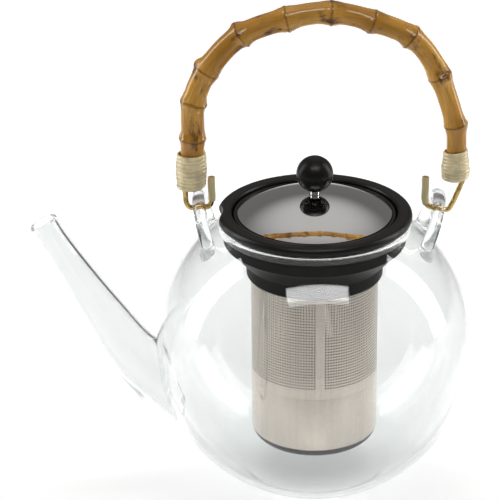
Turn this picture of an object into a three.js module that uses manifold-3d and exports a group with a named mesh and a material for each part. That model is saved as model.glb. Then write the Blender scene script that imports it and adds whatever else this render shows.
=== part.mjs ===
// Glass tea-press pot: a blown globe with a swan spout and two glass lugs, a lift-out
// infuser hung in the mouth, a domed lid with a plunger, and a bamboo bail handle on wire hooks.
// Millimetres, +Z up. The spout points along -X. The origin is the centre of the flat foot.

import * as THREE from 'three';
import { mergeVertices } from 'three/addons/utils/BufferGeometryUtils.js';
import Module from 'manifold-3d';

const wasm = await Module();
wasm.setup();

// ---------------------------------------------------------------- driving dimensions

const GLOBE_RADIUS = 78;
const GLASS_WALL = 2.4;
const FOOT_RADIUS = 32;
const FLOOR_THICKNESS = 3.6;
const MOUTH_RADIUS = 44.5;
const LIP_HEIGHT = 2.9;

const SPOUT_ROOT_ELEVATION = THREE.MathUtils.degToRad(-14);
const SPOUT_REACH = 56.7;
const SPOUT_TIP_ABOVE_LIP = 0.3;
const SPOUT_ROOT_RADIUS = 14.7;
const SPOUT_TIP_RADIUS = 7.3;
const SPOUT_WALL = 1.9;

const LUG_ROD_RADIUS = 3.1;
const LUG_ARCH_RADIUS = 16.7;
const LUG_WELD_RADIUS = 4.7;
const BAIL_AXIS_BELOW_LIP = 4;
const LUG_BURIED = 5;
const LUG_LEFT = { side: -1, offset: 4.3, lean: THREE.MathUtils.degToRad(13.5) };
const LUG_RIGHT = { side: 1, offset: 5.9, lean: THREE.MathUtils.degToRad(18.5) };
const BAIL_SWING = THREE.MathUtils.degToRad(45);

const FLANGE_OVERHANG = 0.7;
const FLANGE_THICKNESS = 5.2;
const PLUG_DEPTH = 12.5;
const PLUG_WALL = 3.6;
const CONE_DEPTH = 9;
const SKIRT_DEPTH = 6.7;
const SKIRT_WALL = 1.9;
const RECESS_DEPTH = 9.2;
const NOTCH_DEPTH = 3;
const NOTCH_RADIUS = 22.5;
const FUNNEL_WIDTH = 7;
const FUNNEL_DROP = 6;
const STRAINER_INSERTION = 2.3;

const STRAINER_RADIUS = 31;
const STRAINER_WALL = 0.6;
const STRAINER_CORNER = 6.5;
const STRAINER_ABOVE_FLOOR = 17.5;
const STRAINER_CUP_HEIGHT = 33;

const LID_RIM_HEIGHT = 13.1;
const LID_RIM_WIDTH = 1.9;
const DOME_RISE = 9.6;
const DOME_SHEET = 0.8;
const LID_PLATE_LEVEL = 6;
const LID_PLATE_THICKNESS = 2;

const ROD_RADIUS = 2.3;
const KNOB_RADIUS = 9;
const KNOB_ABOVE_DOME = 1.7;
const DISC_THICKNESS = 1.6;
const DISC_ABOVE_CORNER = 0.9;
const SEAL_LIP_WIDTH = 4.1;
const DISC_GRIP = 1.3;
const BUSHING_WALL = 1.9;
const NUT_HEIGHT = 3;

const HANDLE_RISE = 110.6;
const HANDLE_LEFT_OFFSET = 3.4;
const HANDLE_RIGHT_OFFSET = 7.6;
const HANDLE_END_GAP_LEFT = 2.1;
const BAMBOO_RADIUS_LEFT = 5.8;
const BAMBOO_RADIUS_RIGHT = 4.7;
const BAMBOO_NODE_SWELL = 1;
const WRAP_LENGTH_LEFT = 19.6;
const WRAP_LENGTH_RIGHT = 17;
const WRAP_BUILD = 1.3;
const WRAP_BARREL = 0.6;
const WRAP_FLARE = 1.2;
const WRAP_FLARE_PACE = 1.3;
const WIRE_RADIUS = 1.3;
const SLEEVE_WALL = 0.35;
const HOOK_TIP_RISE = 12.5;

// ---------------------------------------------------------------- clearances

const CONTACT_GAP = 0.3;
const MOUTH_CLEARANCE = 0.6;
const LID_CLEARANCE = 0.6;
const STRAINER_CLEARANCE = 0.35;
const ROD_CLEARANCE = 0.3;
const SLEEVE_CLEARANCE = 0.15;
const HOOK_CLEARANCE = 0.35;

// ---------------------------------------------------------------- derived places

const globeCentreHeight = Math.sqrt(GLOBE_RADIUS ** 2 - FOOT_RADIUS ** 2);
const neckRadius = MOUTH_RADIUS + GLASS_WALL;
const neckBase = Math.sqrt(GLOBE_RADIUS ** 2 - neckRadius ** 2);
const lipTop = neckBase + LIP_HEIGHT;
const floorTop = FLOOR_THICKNESS - globeCentreHeight;

const flangeRadius = neckRadius + FLANGE_OVERHANG;
const plugRadius = MOUTH_RADIUS - MOUTH_CLEARANCE;
const recessRadius = plugRadius - PLUG_WALL;
const flangeTop = CONTACT_GAP + FLANGE_THICKNESS;
const skirtInner = STRAINER_RADIUS + STRAINER_CLEARANCE;
const skirtOuter = skirtInner + SKIRT_WALL;
const coneBottom = -PLUG_DEPTH - CONE_DEPTH;
const skirtBottom = coneBottom - SKIRT_DEPTH;
const shoulderRadius = STRAINER_RADIUS - STRAINER_WALL - CONTACT_GAP;
const strainerSeat = coneBottom + STRAINER_INSERTION;

const strainerTop = strainerSeat - CONTACT_GAP;
const strainerBottom = floorTop + STRAINER_ABOVE_FLOOR - lipTop;
const cupTop = strainerBottom + STRAINER_CUP_HEIGHT;
const strainerBore = STRAINER_RADIUS - STRAINER_WALL;

const lidRadius = recessRadius - LID_CLEARANCE;
const domeRadius = lidRadius - LID_RIM_WIDTH - CONTACT_GAP;
const domeEdge = LID_RIM_HEIGHT - CONTACT_GAP * 2;
const domeTop = domeEdge + DOME_SHEET + DOME_RISE;
const knobCentre = domeTop + KNOB_ABOVE_DOME + KNOB_RADIUS;
const rodBore = ROD_RADIUS + ROD_CLEARANCE;
const bushingRadius = rodBore + BUSHING_WALL;

// Measured from the recess floor, because the plunger shares the lid's origin.
const discLevel = strainerBottom + STRAINER_CORNER + STRAINER_WALL + DISC_ABOVE_CORNER + RECESS_DEPTH;

const bailAxis = lipTop - BAIL_AXIS_BELOW_LIP;
const sleeveRadius = WIRE_RADIUS + SLEEVE_CLEARANCE + SLEEVE_WALL;

// ---------------------------------------------------------------- shape helpers

// A closed three.js geometry as a solid that can be joined and cut.
function toSolid(geometry) {
  const bare = geometry.clone();
  bare.deleteAttribute('normal');
  bare.deleteAttribute('uv');
  const merged = mergeVertices(bare, 1e-4);
  const corners = Array.from(merged.index.array);
  const faces = [];
  for (let i = 0; i < corners.length; i += 3) {
    const [a, b, c] = corners.slice(i, i + 3);
    if (a !== b && b !== c && c !== a) faces.push(a, b, c);
  }
  return new wasm.Manifold(new wasm.Mesh({
    numProp: 3,
    vertProperties: new Float32Array(merged.attributes.position.array),
    triVerts: new Uint32Array(faces),
  }));
}

function toGeometry(solid) {
  const mesh = solid.getMesh();
  const geometry = new THREE.BufferGeometry();
  geometry.setAttribute('position', new THREE.BufferAttribute(mesh.vertProperties, 3));
  geometry.setIndex(new THREE.BufferAttribute(mesh.triVerts, 1));
  geometry.computeVertexNormals();
  return geometry;
}

function cut(geometry, ...tools) {
  let solid = toSolid(geometry);
  for (const tool of tools) solid = solid.subtract(toSolid(tool));
  return toGeometry(solid);
}

// Points on a circular arc, angles in degrees from the +r axis towards +z.
function arc(centreR, centreZ, radius, fromDeg, toDeg, steps) {
  const points = [];
  for (let i = 0; i <= steps; i += 1) {
    const angle = THREE.MathUtils.degToRad(fromDeg + ((toDeg - fromDeg) * i) / steps);
    points.push([centreR + radius * Math.cos(angle), centreZ + radius * Math.sin(angle)]);
  }
  return points;
}

// A lathe profile of [r, z] pairs, listed anticlockwise, as a geometry about the Y axis.
function turnedAboutY(profile, segments) {
  const points = profile.map(([r, z]) => new THREE.Vector2(Math.max(r, 0), z));
  return new THREE.LatheGeometry(points, segments);
}

// The same about the Z axis.
function turned(profile, segments) {
  return turnedAboutY(profile, segments).rotateX(Math.PI / 2);
}

function ring(profile, segments) {
  return turned([...profile, profile[0]], segments);
}

// Lays a turned rod, which starts at y = 0, along a curve in the XZ plane.
function bentAlong(geometry, curve, length) {
  const position = geometry.attributes.position;
  for (let i = 0; i < position.count; i += 1) {
    const station = THREE.MathUtils.clamp(position.getY(i) / length, 0, 1);
    const centre = curve.getPointAt(station);
    const tangent = curve.getTangentAt(station);
    const across = position.getX(i);
    const sideways = -position.getZ(i);
    position.setXYZ(i, centre.x + tangent.z * across, sideways, centre.z - tangent.x * across);
  }
  return geometry;
}

function planeCurve(pairs) {
  const curve = new THREE.CatmullRomCurve3(pairs.map(([x, z]) => new THREE.Vector3(x, 0, z)));
  curve.arcLengthDivisions = 400;
  return curve;
}

// A solid rod along a curve between two stations, with a radius that may change on the way.
function bentRod(curve, radiusAt, steps, sides, from = 0, to = 1) {
  const length = curve.getLength();
  const profile = [[0, from * length]];
  for (let i = 0; i <= steps; i += 1) {
    const station = from + ((to - from) * i) / steps;
    profile.push([radiusAt(station), station * length]);
  }
  profile.push([0, to * length]);
  return bentAlong(turnedAboutY(profile, sides), curve, length);
}

// A tube along a curve between two stations.
function bentTube(curve, outerAt, innerAt, steps, sides, from = 0, to = 1) {
  const length = curve.getLength();
  const outer = [];
  const inner = [];
  for (let i = 0; i <= steps; i += 1) {
    const station = from + ((to - from) * i) / steps;
    outer.push([outerAt(station), station * length]);
    inner.unshift([innerAt(station), station * length]);
  }
  return bentAlong(turnedAboutY([...outer, ...inner, outer[0]], sides), curve, length);
}

function finish(color, roughness, metalness) {
  return new THREE.MeshStandardMaterial({ color, roughness, metalness });
}

function part(name, geometry, material) {
  const mesh = new THREE.Mesh(geometry, material);
  mesh.name = name;
  return mesh;
}

// ---------------------------------------------------------------- finishes

const GLASS = finish(0xe6ecea, 0.03, 0);
const BLACK_PLASTIC = finish(0x1c1a18, 0.4, 0);
const BLACK_SILICONE = finish(0x24211f, 0.7, 0);
const MIRROR_STEEL = finish(0xc9c8c6, 0.08, 1);
const SATIN_STEEL = finish(0xb3ada3, 0.3, 1);
const BAMBOO = finish(0xa86d2c, 0.35, 0);
const CANE = finish(0xcdc396, 0.6, 0);
const BRASS = finish(0xb99a52, 0.3, 1);
const SLEEVE = finish(0xc2b48c, 0.45, 0);

// ---------------------------------------------------------------- the glass pot
// Its group stands at the globe's centre.

const GLOBE_SEGMENTS = 44;

const spoutRoot = {
  x: -GLOBE_RADIUS * Math.cos(SPOUT_ROOT_ELEVATION),
  z: GLOBE_RADIUS * Math.sin(SPOUT_ROOT_ELEVATION),
};
const spoutHeight = lipTop + SPOUT_TIP_ABOVE_LIP - spoutRoot.z;
const SPOUT_SWEEP = [
  [-0.275, -0.13], [-0.07, -0.03], [0.228, 0.153], [0.459, 0.384], [0.713, 0.662], [0.912, 0.887], [1, 1],
];
const spoutCurve = planeCurve(SPOUT_SWEEP.map(([reach, height]) => [
  spoutRoot.x - reach * SPOUT_REACH,
  spoutRoot.z + height * spoutHeight,
]));

function spoutRadiusAt(station) {
  const fromTip = THREE.MathUtils.smoothstep(1 - station, 0, 1);
  return THREE.MathUtils.lerp(SPOUT_TIP_RADIUS, SPOUT_ROOT_RADIUS, fromTip);
}

function spoutBoreAt(station) {
  return spoutRadiusAt(station) - SPOUT_WALL;
}

function makeGlobe() {
  const innerRadius = GLOBE_RADIUS - GLASS_WALL;
  const footAngle = THREE.MathUtils.radToDeg(Math.asin(-globeCentreHeight / GLOBE_RADIUS));
  const neckAngle = THREE.MathUtils.radToDeg(Math.acos(neckRadius / GLOBE_RADIUS));
  const floorAngle = THREE.MathUtils.radToDeg(Math.asin(floorTop / innerRadius));
  const mouthAngle = THREE.MathUtils.radToDeg(Math.acos(MOUTH_RADIUS / innerRadius));
  const lipRound = GLASS_WALL / 2;
  const profile = [
    [0, -globeCentreHeight],
    ...arc(0, 0, GLOBE_RADIUS, footAngle, neckAngle, 12),
    ...arc(MOUTH_RADIUS + lipRound, lipTop - lipRound, lipRound, 0, 180, 3),
    ...arc(0, 0, innerRadius, mouthAngle, floorAngle, 10),
    [0, floorTop],
  ];
  const bore = bentRod(spoutCurve, spoutBoreAt, 5, 18, 0.001, 0.45);
  return cut(turned(profile, GLOBE_SEGMENTS), bore);
}

// The room that pieces standing on the globe leave for it.
function globeSpace() {
  return new THREE.SphereGeometry(GLOBE_RADIUS + CONTACT_GAP, 48, 36);
}

function makeSpout() {
  const tube = bentTube(spoutCurve, spoutRadiusAt, spoutBoreAt, 11, 18);
  return cut(tube, globeSpace());
}

// Where a lug stands: its feet on the globe, its arch centre on the bail axis.
function lugPlace(lug) {
  const footX = neckRadius + lug.offset;
  const footZ = Math.sqrt(GLOBE_RADIUS ** 2 - footX ** 2 - LUG_ARCH_RADIUS ** 2);
  const apexZ = bailAxis + LUG_ARCH_RADIUS * Math.cos(lug.lean);
  return {
    footX,
    footZ,
    apexZ,
    apexX: footX + (apexZ - footZ) * Math.tan(lug.lean),
    leg: (bailAxis - footZ) / Math.cos(lug.lean),
    reachLost: LUG_ARCH_RADIUS * (1 - Math.cos(BAIL_SWING)) * Math.sin(lug.lean),
  };
}

function makeLug(lug) {
  const place = lugPlace(lug);
  const pairs = [[LUG_ARCH_RADIUS, -place.leg - LUG_BURIED], [LUG_ARCH_RADIUS, -place.leg / 2]];
  pairs.push(...arc(0, 0, LUG_ARCH_RADIUS, 0, 180, 8));
  pairs.push([-LUG_ARCH_RADIUS, -place.leg / 2], [-LUG_ARCH_RADIUS, -place.leg - LUG_BURIED]);
  let solid = toSolid(bentRod(planeCurve(pairs), () => LUG_ROD_RADIUS, 18, 8));
  for (const end of [-1, 1]) {
    const weld = new THREE.SphereGeometry(LUG_WELD_RADIUS, 10, 6);
    weld.translate(end * LUG_ARCH_RADIUS, 0, -place.leg);
    solid = solid.add(toSolid(weld));
  }
  const hoop = toGeometry(solid);
  hoop.rotateZ(Math.PI / 2);
  hoop.rotateY(lug.side * lug.lean);
  const centreX = place.apexX - LUG_ARCH_RADIUS * Math.sin(lug.lean);
  hoop.translate(lug.side * centreX, 0, bailAxis);
  return cut(hoop, globeSpace());
}

const pot = new THREE.Group();
pot.position.z = globeCentreHeight;
pot.add(part('globe', makeGlobe(), GLASS.clone()));
pot.add(part('spout', makeSpout(), GLASS.clone()));
pot.add(part('lug_left', makeLug(LUG_LEFT), GLASS.clone()));
pot.add(part('lug_right', makeLug(LUG_RIGHT), GLASS.clone()));

// ---------------------------------------------------------------- the infuser
// Its group stands at the lip's top, on the pot's axis.

const ROUND_SEGMENTS = 32;
const SMALL_SEGMENTS = 20;
const GASKET_WIDTH = 1.5;
const GASKET_BELOW_LIP = 1.2;
const GASKET_HEIGHT = 1.7;
const PLUG_CHAMFER = 1.9;
const SKIRT_CHAMFER = 0.9;
const RECESS_EASING = 0.65;
const gasketTop = -GASKET_BELOW_LIP;
const gasketBottom = gasketTop - GASKET_HEIGHT;

function makeCollar() {
  const edgeRound = FLANGE_THICKNESS / 2;
  const gasketGroove = plugRadius - GASKET_WIDTH;
  const profile = [
    [recessRadius, -RECESS_DEPTH],
    [shoulderRadius + FUNNEL_WIDTH, -RECESS_DEPTH],
    [shoulderRadius, -RECESS_DEPTH - FUNNEL_DROP],
    [shoulderRadius, strainerSeat],
    [skirtInner, strainerSeat],
    [skirtInner, skirtBottom],
    [skirtOuter - SKIRT_CHAMFER, skirtBottom],
    [skirtOuter, skirtBottom + SKIRT_CHAMFER],
    [skirtOuter, coneBottom],
    [plugRadius - PLUG_CHAMFER, -PLUG_DEPTH],
    [plugRadius, -PLUG_DEPTH + PLUG_CHAMFER],
    [plugRadius, gasketBottom - CONTACT_GAP],
    [gasketGroove, gasketBottom - CONTACT_GAP],
    [gasketGroove, gasketTop + CONTACT_GAP],
    [plugRadius, gasketTop + CONTACT_GAP],
    [plugRadius, CONTACT_GAP],
    ...arc(flangeRadius - edgeRound, CONTACT_GAP + edgeRound, edgeRound, -90, 90, 5),
    [recessRadius + RECESS_EASING, flangeTop - RECESS_EASING],
    [recessRadius, flangeTop - RECESS_EASING * 2],
  ];
  const notch = new THREE.CylinderGeometry(NOTCH_RADIUS, NOTCH_RADIUS, FLANGE_THICKNESS * 2, 48);
  notch.rotateX(Math.PI / 2);
  notch.translate(-flangeRadius + NOTCH_DEPTH - NOTCH_RADIUS, 0, CONTACT_GAP + FLANGE_THICKNESS / 2);
  return cut(ring(profile, 40), notch);
}

function makeCollarGasket() {
  const inner = plugRadius - GASKET_WIDTH + CONTACT_GAP;
  const outer = MOUTH_RADIUS - CONTACT_GAP;
  const middle = (gasketTop + gasketBottom) / 2;
  return ring([[inner, gasketBottom], [plugRadius, gasketBottom], [outer, middle],
    [plugRadius, gasketTop], [inner, gasketTop]], ROUND_SEGMENTS);
}

function makeStrainerSleeve() {
  return ring([[strainerBore, cupTop], [STRAINER_RADIUS, cupTop],
    [STRAINER_RADIUS, strainerTop], [strainerBore, strainerTop]], ROUND_SEGMENTS);
}

function makeStrainerCup() {
  const rim = cupTop - CONTACT_GAP;
  const cornerR = STRAINER_RADIUS - STRAINER_CORNER;
  const cornerZ = strainerBottom + STRAINER_CORNER;
  return turned([
    [0, strainerBottom],
    ...arc(cornerR, cornerZ, STRAINER_CORNER, -90, 0, 3),
    [STRAINER_RADIUS, rim],
    [strainerBore, rim],
    ...arc(cornerR, cornerZ, STRAINER_CORNER - STRAINER_WALL, 0, -90, 3),
    [0, strainerBottom + STRAINER_WALL],
  ], ROUND_SEGMENTS);
}

const infuser = new THREE.Group();
infuser.position.z = lipTop;
infuser.add(part('collar', makeCollar(), BLACK_PLASTIC.clone()));
infuser.add(part('collar_gasket', makeCollarGasket(), BLACK_SILICONE.clone()));
infuser.add(part('strainer_sleeve', makeStrainerSleeve(), SATIN_STEEL.clone()));
infuser.add(part('strainer_cup', makeStrainerCup(), SATIN_STEEL.clone()));
pot.add(infuser);

// ---------------------------------------------------------------- the lid
// Its group stands on the recess floor of the collar.

const LID_SEAL_BAND = [3.3, 5.7];
const LID_SEAL_GROOVE = 1.5;
const LID_SEAL_EASING = 0.3;
const LID_WALL = 3.5;
const LID_LEDGE_WIDTH = 2;
const LID_FOOT_CHAMFER = 0.8;
const LID_RIM_EASING = 0.5;
const HUB_WALL = 2.2;
const HUB_BELOW_PLATE = 3;
const HUB_ABOVE_PLATE = 4;
const BUSHING_FLANGE_WIDTH = 1.9;
const BUSHING_FLANGE_THICKNESS = 1;
const BUSHING_OVERRUN = 0.8;
const hubBottom = LID_PLATE_LEVEL - HUB_BELOW_PLATE;
const hubTop = LID_PLATE_LEVEL + HUB_ABOVE_PLATE;

function makeLidInsert() {
  const hubBore = bushingRadius + CONTACT_GAP;
  const hubRadius = hubBore + HUB_WALL;
  const plateTop = LID_PLATE_LEVEL + LID_PLATE_THICKNESS;
  const [sealBottom, sealTop] = LID_SEAL_BAND;
  const sealGroove = lidRadius - LID_SEAL_GROOVE;
  const wallInner = lidRadius - LID_WALL;
  const ledge = domeEdge - CONTACT_GAP;
  return ring([
    [hubBore, hubBottom],
    [hubRadius, hubBottom],
    [hubRadius, LID_PLATE_LEVEL],
    [wallInner, LID_PLATE_LEVEL],
    [wallInner, CONTACT_GAP],
    [lidRadius - LID_FOOT_CHAMFER, CONTACT_GAP],
    [lidRadius, CONTACT_GAP + LID_FOOT_CHAMFER],
    [lidRadius, sealBottom - CONTACT_GAP],
    [sealGroove, sealBottom - CONTACT_GAP],
    [sealGroove, sealTop + CONTACT_GAP],
    [lidRadius, sealTop + CONTACT_GAP],
    [lidRadius, LID_RIM_HEIGHT - LID_RIM_EASING],
    [lidRadius - LID_RIM_EASING, LID_RIM_HEIGHT],
    [domeRadius + CONTACT_GAP, LID_RIM_HEIGHT],
    [domeRadius + CONTACT_GAP, ledge],
    [wallInner - LID_LEDGE_WIDTH, ledge],
    [wallInner - LID_LEDGE_WIDTH, plateTop],
    [hubRadius, plateTop],
    [hubRadius, hubTop],
    [hubBore, hubTop],
  ], ROUND_SEGMENTS);
}

function makeLidSeal() {
  const [bottom, top] = LID_SEAL_BAND;
  const inner = lidRadius - LID_SEAL_GROOVE + CONTACT_GAP;
  const edge = lidRadius - LID_SEAL_EASING;
  const outer = recessRadius - CONTACT_GAP;
  return ring([[inner, bottom], [edge, bottom], [outer, (bottom + top) / 2],
    [edge, top], [inner, top]], ROUND_SEGMENTS);
}

function makeLidDome() {
  const edgeTop = domeEdge + DOME_SHEET;
  const crown = (domeRadius ** 2 + DOME_RISE ** 2) / (2 * DOME_RISE);
  const centreZ = edgeTop + DOME_RISE - crown;
  const holeAngle = THREE.MathUtils.radToDeg(Math.acos(rodBore / crown));
  const edgeAngle = THREE.MathUtils.radToDeg(Math.acos(domeRadius / crown));
  const innerCrown = crown - DOME_SHEET;
  const innerEdge = THREE.MathUtils.radToDeg(Math.acos((domeRadius - DOME_SHEET) / innerCrown));
  const innerHole = THREE.MathUtils.radToDeg(Math.acos(rodBore / innerCrown));
  return ring([
    [domeRadius - DOME_SHEET, domeEdge],
    [domeRadius, domeEdge],
    ...arc(0, centreZ, crown, edgeAngle, holeAngle, 4),
    ...arc(0, centreZ, innerCrown, innerHole, innerEdge, 4),
  ], ROUND_SEGMENTS);
}

function makeRodBushing() {
  const bottom = hubBottom - BUSHING_OVERRUN;
  const flangeRadiusHere = bushingRadius + BUSHING_FLANGE_WIDTH;
  const flangeBottom = hubTop + CONTACT_GAP;
  const top = flangeBottom + BUSHING_FLANGE_THICKNESS;
  return ring([
    [rodBore, bottom],
    [bushingRadius, bottom],
    [bushingRadius, flangeBottom],
    [flangeRadiusHere, flangeBottom],
    [flangeRadiusHere, top],
    [rodBore, top],
  ], SMALL_SEGMENTS);
}

const lid = new THREE.Group();
lid.position.z = -RECESS_DEPTH;
lid.add(part('lid_insert', makeLidInsert(), BLACK_PLASTIC.clone()));
lid.add(part('lid_seal', makeLidSeal(), BLACK_SILICONE.clone()));
lid.add(part('lid_dome', makeLidDome(), MIRROR_STEEL.clone()));
lid.add(part('rod_bushing', makeRodBushing(), BLACK_PLASTIC.clone()));
infuser.add(lid);

// ---------------------------------------------------------------- the plunger
// It slides in the lid, so its group shares the lid's origin.

const SEAL_HEIGHT = 4.4;
const WASHER_HEIGHT = 2;
const ROD_SOCKET_DEPTH = 7;
const ROD_PAST_NUT = 0.8;
const ROD_CHAMFER = 0.4;
const SOCKET_MOUTH_FLARE = 0.5;
const SEAL_LIP_CHAMFER = 1;
const WASHER_WIDTH = 4;
const WASHER_CHAMFER = 1;
const NUT_WALL = 2.2;
const rodBottom = discLevel - CONTACT_GAP - NUT_HEIGHT - ROD_PAST_NUT;
const rodTop = knobCentre - KNOB_RADIUS + ROD_SOCKET_DEPTH;

function makeKnob() {
  const ballMouth = rodBore + SOCKET_MOUTH_FLARE;
  const startAngle = -THREE.MathUtils.radToDeg(Math.acos(ballMouth / KNOB_RADIUS));
  const socketTop = rodTop + CONTACT_GAP;
  return turned([
    [0, socketTop],
    [rodBore, socketTop],
    [rodBore, knobCentre - Math.sqrt(KNOB_RADIUS ** 2 - ballMouth ** 2)],
    ...arc(0, knobCentre, KNOB_RADIUS, startAngle, 90, 9),
  ], SMALL_SEGMENTS);
}

function makePlungerRod() {
  return turned([[0, rodBottom], [ROD_RADIUS - ROD_CHAMFER, rodBottom], [ROD_RADIUS, rodBottom + ROD_CHAMFER],
    [ROD_RADIUS, rodTop], [0, rodTop]], 16);
}

const discRadius = strainerBore - SEAL_LIP_WIDTH + DISC_GRIP;

function makePlungerDisc() {
  return ring([[rodBore, discLevel], [discRadius, discLevel],
    [discRadius, discLevel + DISC_THICKNESS], [rodBore, discLevel + DISC_THICKNESS]], ROUND_SEGMENTS);
}

function makePlungerSeal() {
  const middle = discLevel + DISC_THICKNESS / 2;
  const inner = strainerBore - SEAL_LIP_WIDTH - CONTACT_GAP;
  const outer = strainerBore - CONTACT_GAP;
  const groove = DISC_THICKNESS / 2 + CONTACT_GAP;
  const half = SEAL_HEIGHT / 2;
  return ring([
    [inner, middle - half],
    [outer - SEAL_LIP_CHAMFER, middle - half],
    [outer, middle - half + SEAL_LIP_CHAMFER],
    [outer, middle + half - SEAL_LIP_CHAMFER],
    [outer - SEAL_LIP_CHAMFER, middle + half],
    [inner, middle + half],
    [inner, middle + groove],
    [discRadius + CONTACT_GAP, middle + groove],
    [discRadius + CONTACT_GAP, middle - groove],
    [inner, middle - groove],
  ], ROUND_SEGMENTS);
}

function makePlungerWasher() {
  const bottom = discLevel + DISC_THICKNESS + CONTACT_GAP;
  const outer = rodBore + WASHER_WIDTH;
  return ring([[rodBore, bottom], [outer, bottom], [outer - WASHER_CHAMFER, bottom + WASHER_HEIGHT],
    [rodBore, bottom + WASHER_HEIGHT]], SMALL_SEGMENTS);
}

function makePlungerNut() {
  const hexagon = new THREE.Shape();
  const reach = rodBore + NUT_WALL;
  for (let i = 0; i < 6; i += 1) {
    const angle = (i * Math.PI) / 3;
    const corner = [reach * Math.cos(angle), reach * Math.sin(angle)];
    if (i === 0) hexagon.moveTo(...corner);
    else hexagon.lineTo(...corner);
  }
  hexagon.closePath();
  const hole = new THREE.Path();
  hole.absarc(0, 0, rodBore, 0, Math.PI * 2, true);
  hexagon.holes.push(hole);
  const settings = { depth: NUT_HEIGHT, bevelEnabled: false, curveSegments: 8 };
  const nut = new THREE.ExtrudeGeometry(hexagon, settings);
  return nut.translate(0, 0, discLevel - CONTACT_GAP - NUT_HEIGHT);
}

const plunger = new THREE.Group();
plunger.add(part('knob', makeKnob(), BLACK_PLASTIC.clone()));
plunger.add(part('plunger_rod', makePlungerRod(), MIRROR_STEEL.clone()));
plunger.add(part('plunger_disc', makePlungerDisc(), SATIN_STEEL.clone()));
plunger.add(part('plunger_seal', makePlungerSeal(), BLACK_SILICONE.clone()));
plunger.add(part('plunger_washer', makePlungerWasher(), SATIN_STEEL.clone()));
plunger.add(part('plunger_nut', makePlungerNut(), SATIN_STEEL.clone()));
lid.add(plunger);

// ---------------------------------------------------------------- the bail handle
// Its group stands on the bail axis, and it swings about X.

const leftPlace = lugPlace(LUG_LEFT);
const rightPlace = lugPlace(LUG_RIGHT);
const leftEnd = {
  x: -(leftPlace.apexX + HANDLE_LEFT_OFFSET),
  z: leftPlace.apexZ - bailAxis + LUG_ROD_RADIUS + HANDLE_END_GAP_LEFT,
};
const rightEndX = rightPlace.apexX + HANDLE_RIGHT_OFFSET;

// Where the bent cane runs, as shares of the span between its ends and of its rise.
const HANDLE_SWEEP = [
  [0, 0], [0.002, 0.158], [0.006, 0.304], [0.017, 0.507], [0.072, 0.693], [0.183, 0.878], [0.363, 0.974],
  [0.527, 1], [0.68, 0.957], [0.825, 0.859], [0.935, 0.651], [0.988, 0.394], [0.998, 0.214], [1, 0.039],
];
const handleCurve = planeCurve(HANDLE_SWEEP.map(([across, up]) => [
  THREE.MathUtils.lerp(leftEnd.x, rightEndX, across),
  THREE.MathUtils.lerp(leftEnd.z, HANDLE_RISE, up),
]));
const handleLength = handleCurve.getLength();
const rightEnd = handleCurve.getPointAt(1);

// Stations of the swollen joints along the cane, and how far each swelling reaches.
const BAMBOO_NODES = [0.104, 0.179, 0.246, 0.345, 0.439, 0.523, 0.602, 0.682, 0.778, 0.884];
const NODE_REACH = 0.012;

function bambooTaperAt(station) {
  return THREE.MathUtils.lerp(BAMBOO_RADIUS_LEFT, BAMBOO_RADIUS_RIGHT, station);
}

function bambooRadiusAt(station) {
  let swell = 0;
  for (const node of BAMBOO_NODES) {
    swell += BAMBOO_NODE_SWELL * Math.exp(-(((station - node) / NODE_REACH) ** 2));
  }
  return bambooTaperAt(station) + swell;
}

const HOOK_BEND_START = 1.5;
const HOOK_INNER_BEND = [1.3, 0.6];
const HOOK_SADDLE = [1.2, 0.2];
const HOOK_OUTER_BEND = [0.6, 1, 2];
const HOOK_ENTRY_LEAN = [0.9, 2];
const HOOK_ENTRY_RISE = 1;
const HOOK_BURIED = [0.6, 8];

// A hook's wire: tip, straight inner limb, round under the lug, then up into the handle's end.
// The entry is how far outside the cane's end it goes in, the droop how far its outer bend hangs.
function hookCurve(lug, place, end, entry, droop) {
  const apexZ = place.apexZ - bailAxis;
  const innerX = place.apexX - (LUG_ROD_RADIUS + place.reachLost + CONTACT_GAP + sleeveRadius);
  const bottomZ = apexZ - LUG_ROD_RADIUS - HOOK_CLEARANCE - WIRE_RADIUS;
  const outerX = place.apexX + LUG_ROD_RADIUS + HOOK_CLEARANCE + WIRE_RADIUS;
  const endX = Math.abs(end.x);
  return planeCurve([
    [innerX, apexZ + HOOK_TIP_RISE],
    [innerX, apexZ + HOOK_TIP_RISE / 2],
    [innerX, apexZ - HOOK_BEND_START],
    [innerX + HOOK_INNER_BEND[0], bottomZ + HOOK_INNER_BEND[1]],
    [place.apexX - HOOK_SADDLE[0], bottomZ - HOOK_SADDLE[1] - droop / 2],
    [outerX - HOOK_OUTER_BEND[0], bottomZ - droop],
    [outerX + HOOK_OUTER_BEND[1], bottomZ + HOOK_OUTER_BEND[2] - droop],
    [endX + entry - HOOK_ENTRY_LEAN[0], end.z - HOOK_ENTRY_LEAN[1]],
    [endX + entry, end.z + HOOK_ENTRY_RISE],
    [endX + entry - HOOK_BURIED[0], end.z + HOOK_BURIED[1]],
  ].map(([x, z]) => [lug.side * x, z]));
}

const HOOK_ENTRY_LEFT = 3.9;
const HOOK_ENTRY_RIGHT = 3.7;
const HOOK_DROOP_RIGHT = 1.6;
const hookLeftCurve = hookCurve(LUG_LEFT, leftPlace, leftEnd, HOOK_ENTRY_LEFT, 0);
const hookRightCurve = hookCurve(LUG_RIGHT, rightPlace, rightEnd, HOOK_ENTRY_RIGHT, HOOK_DROOP_RIGHT);

// Wire and sleeve share these stations, so their facets stay parallel.
const HOOK_STEPS = 30;
const HOOK_SIDES = 8;
const SLEEVE_FIRST_STEP = 1;
const SLEEVE_LAST_STEP = 9;
const CHANNEL_FIRST_STEP = 18;

// The wire stops one step short of the sleeve's open end.
function makeHook(curve) {
  const first = SLEEVE_FIRST_STEP + 1;
  return bentRod(curve, () => WIRE_RADIUS, HOOK_STEPS - first, HOOK_SIDES, first / HOOK_STEPS, 1);
}

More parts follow.
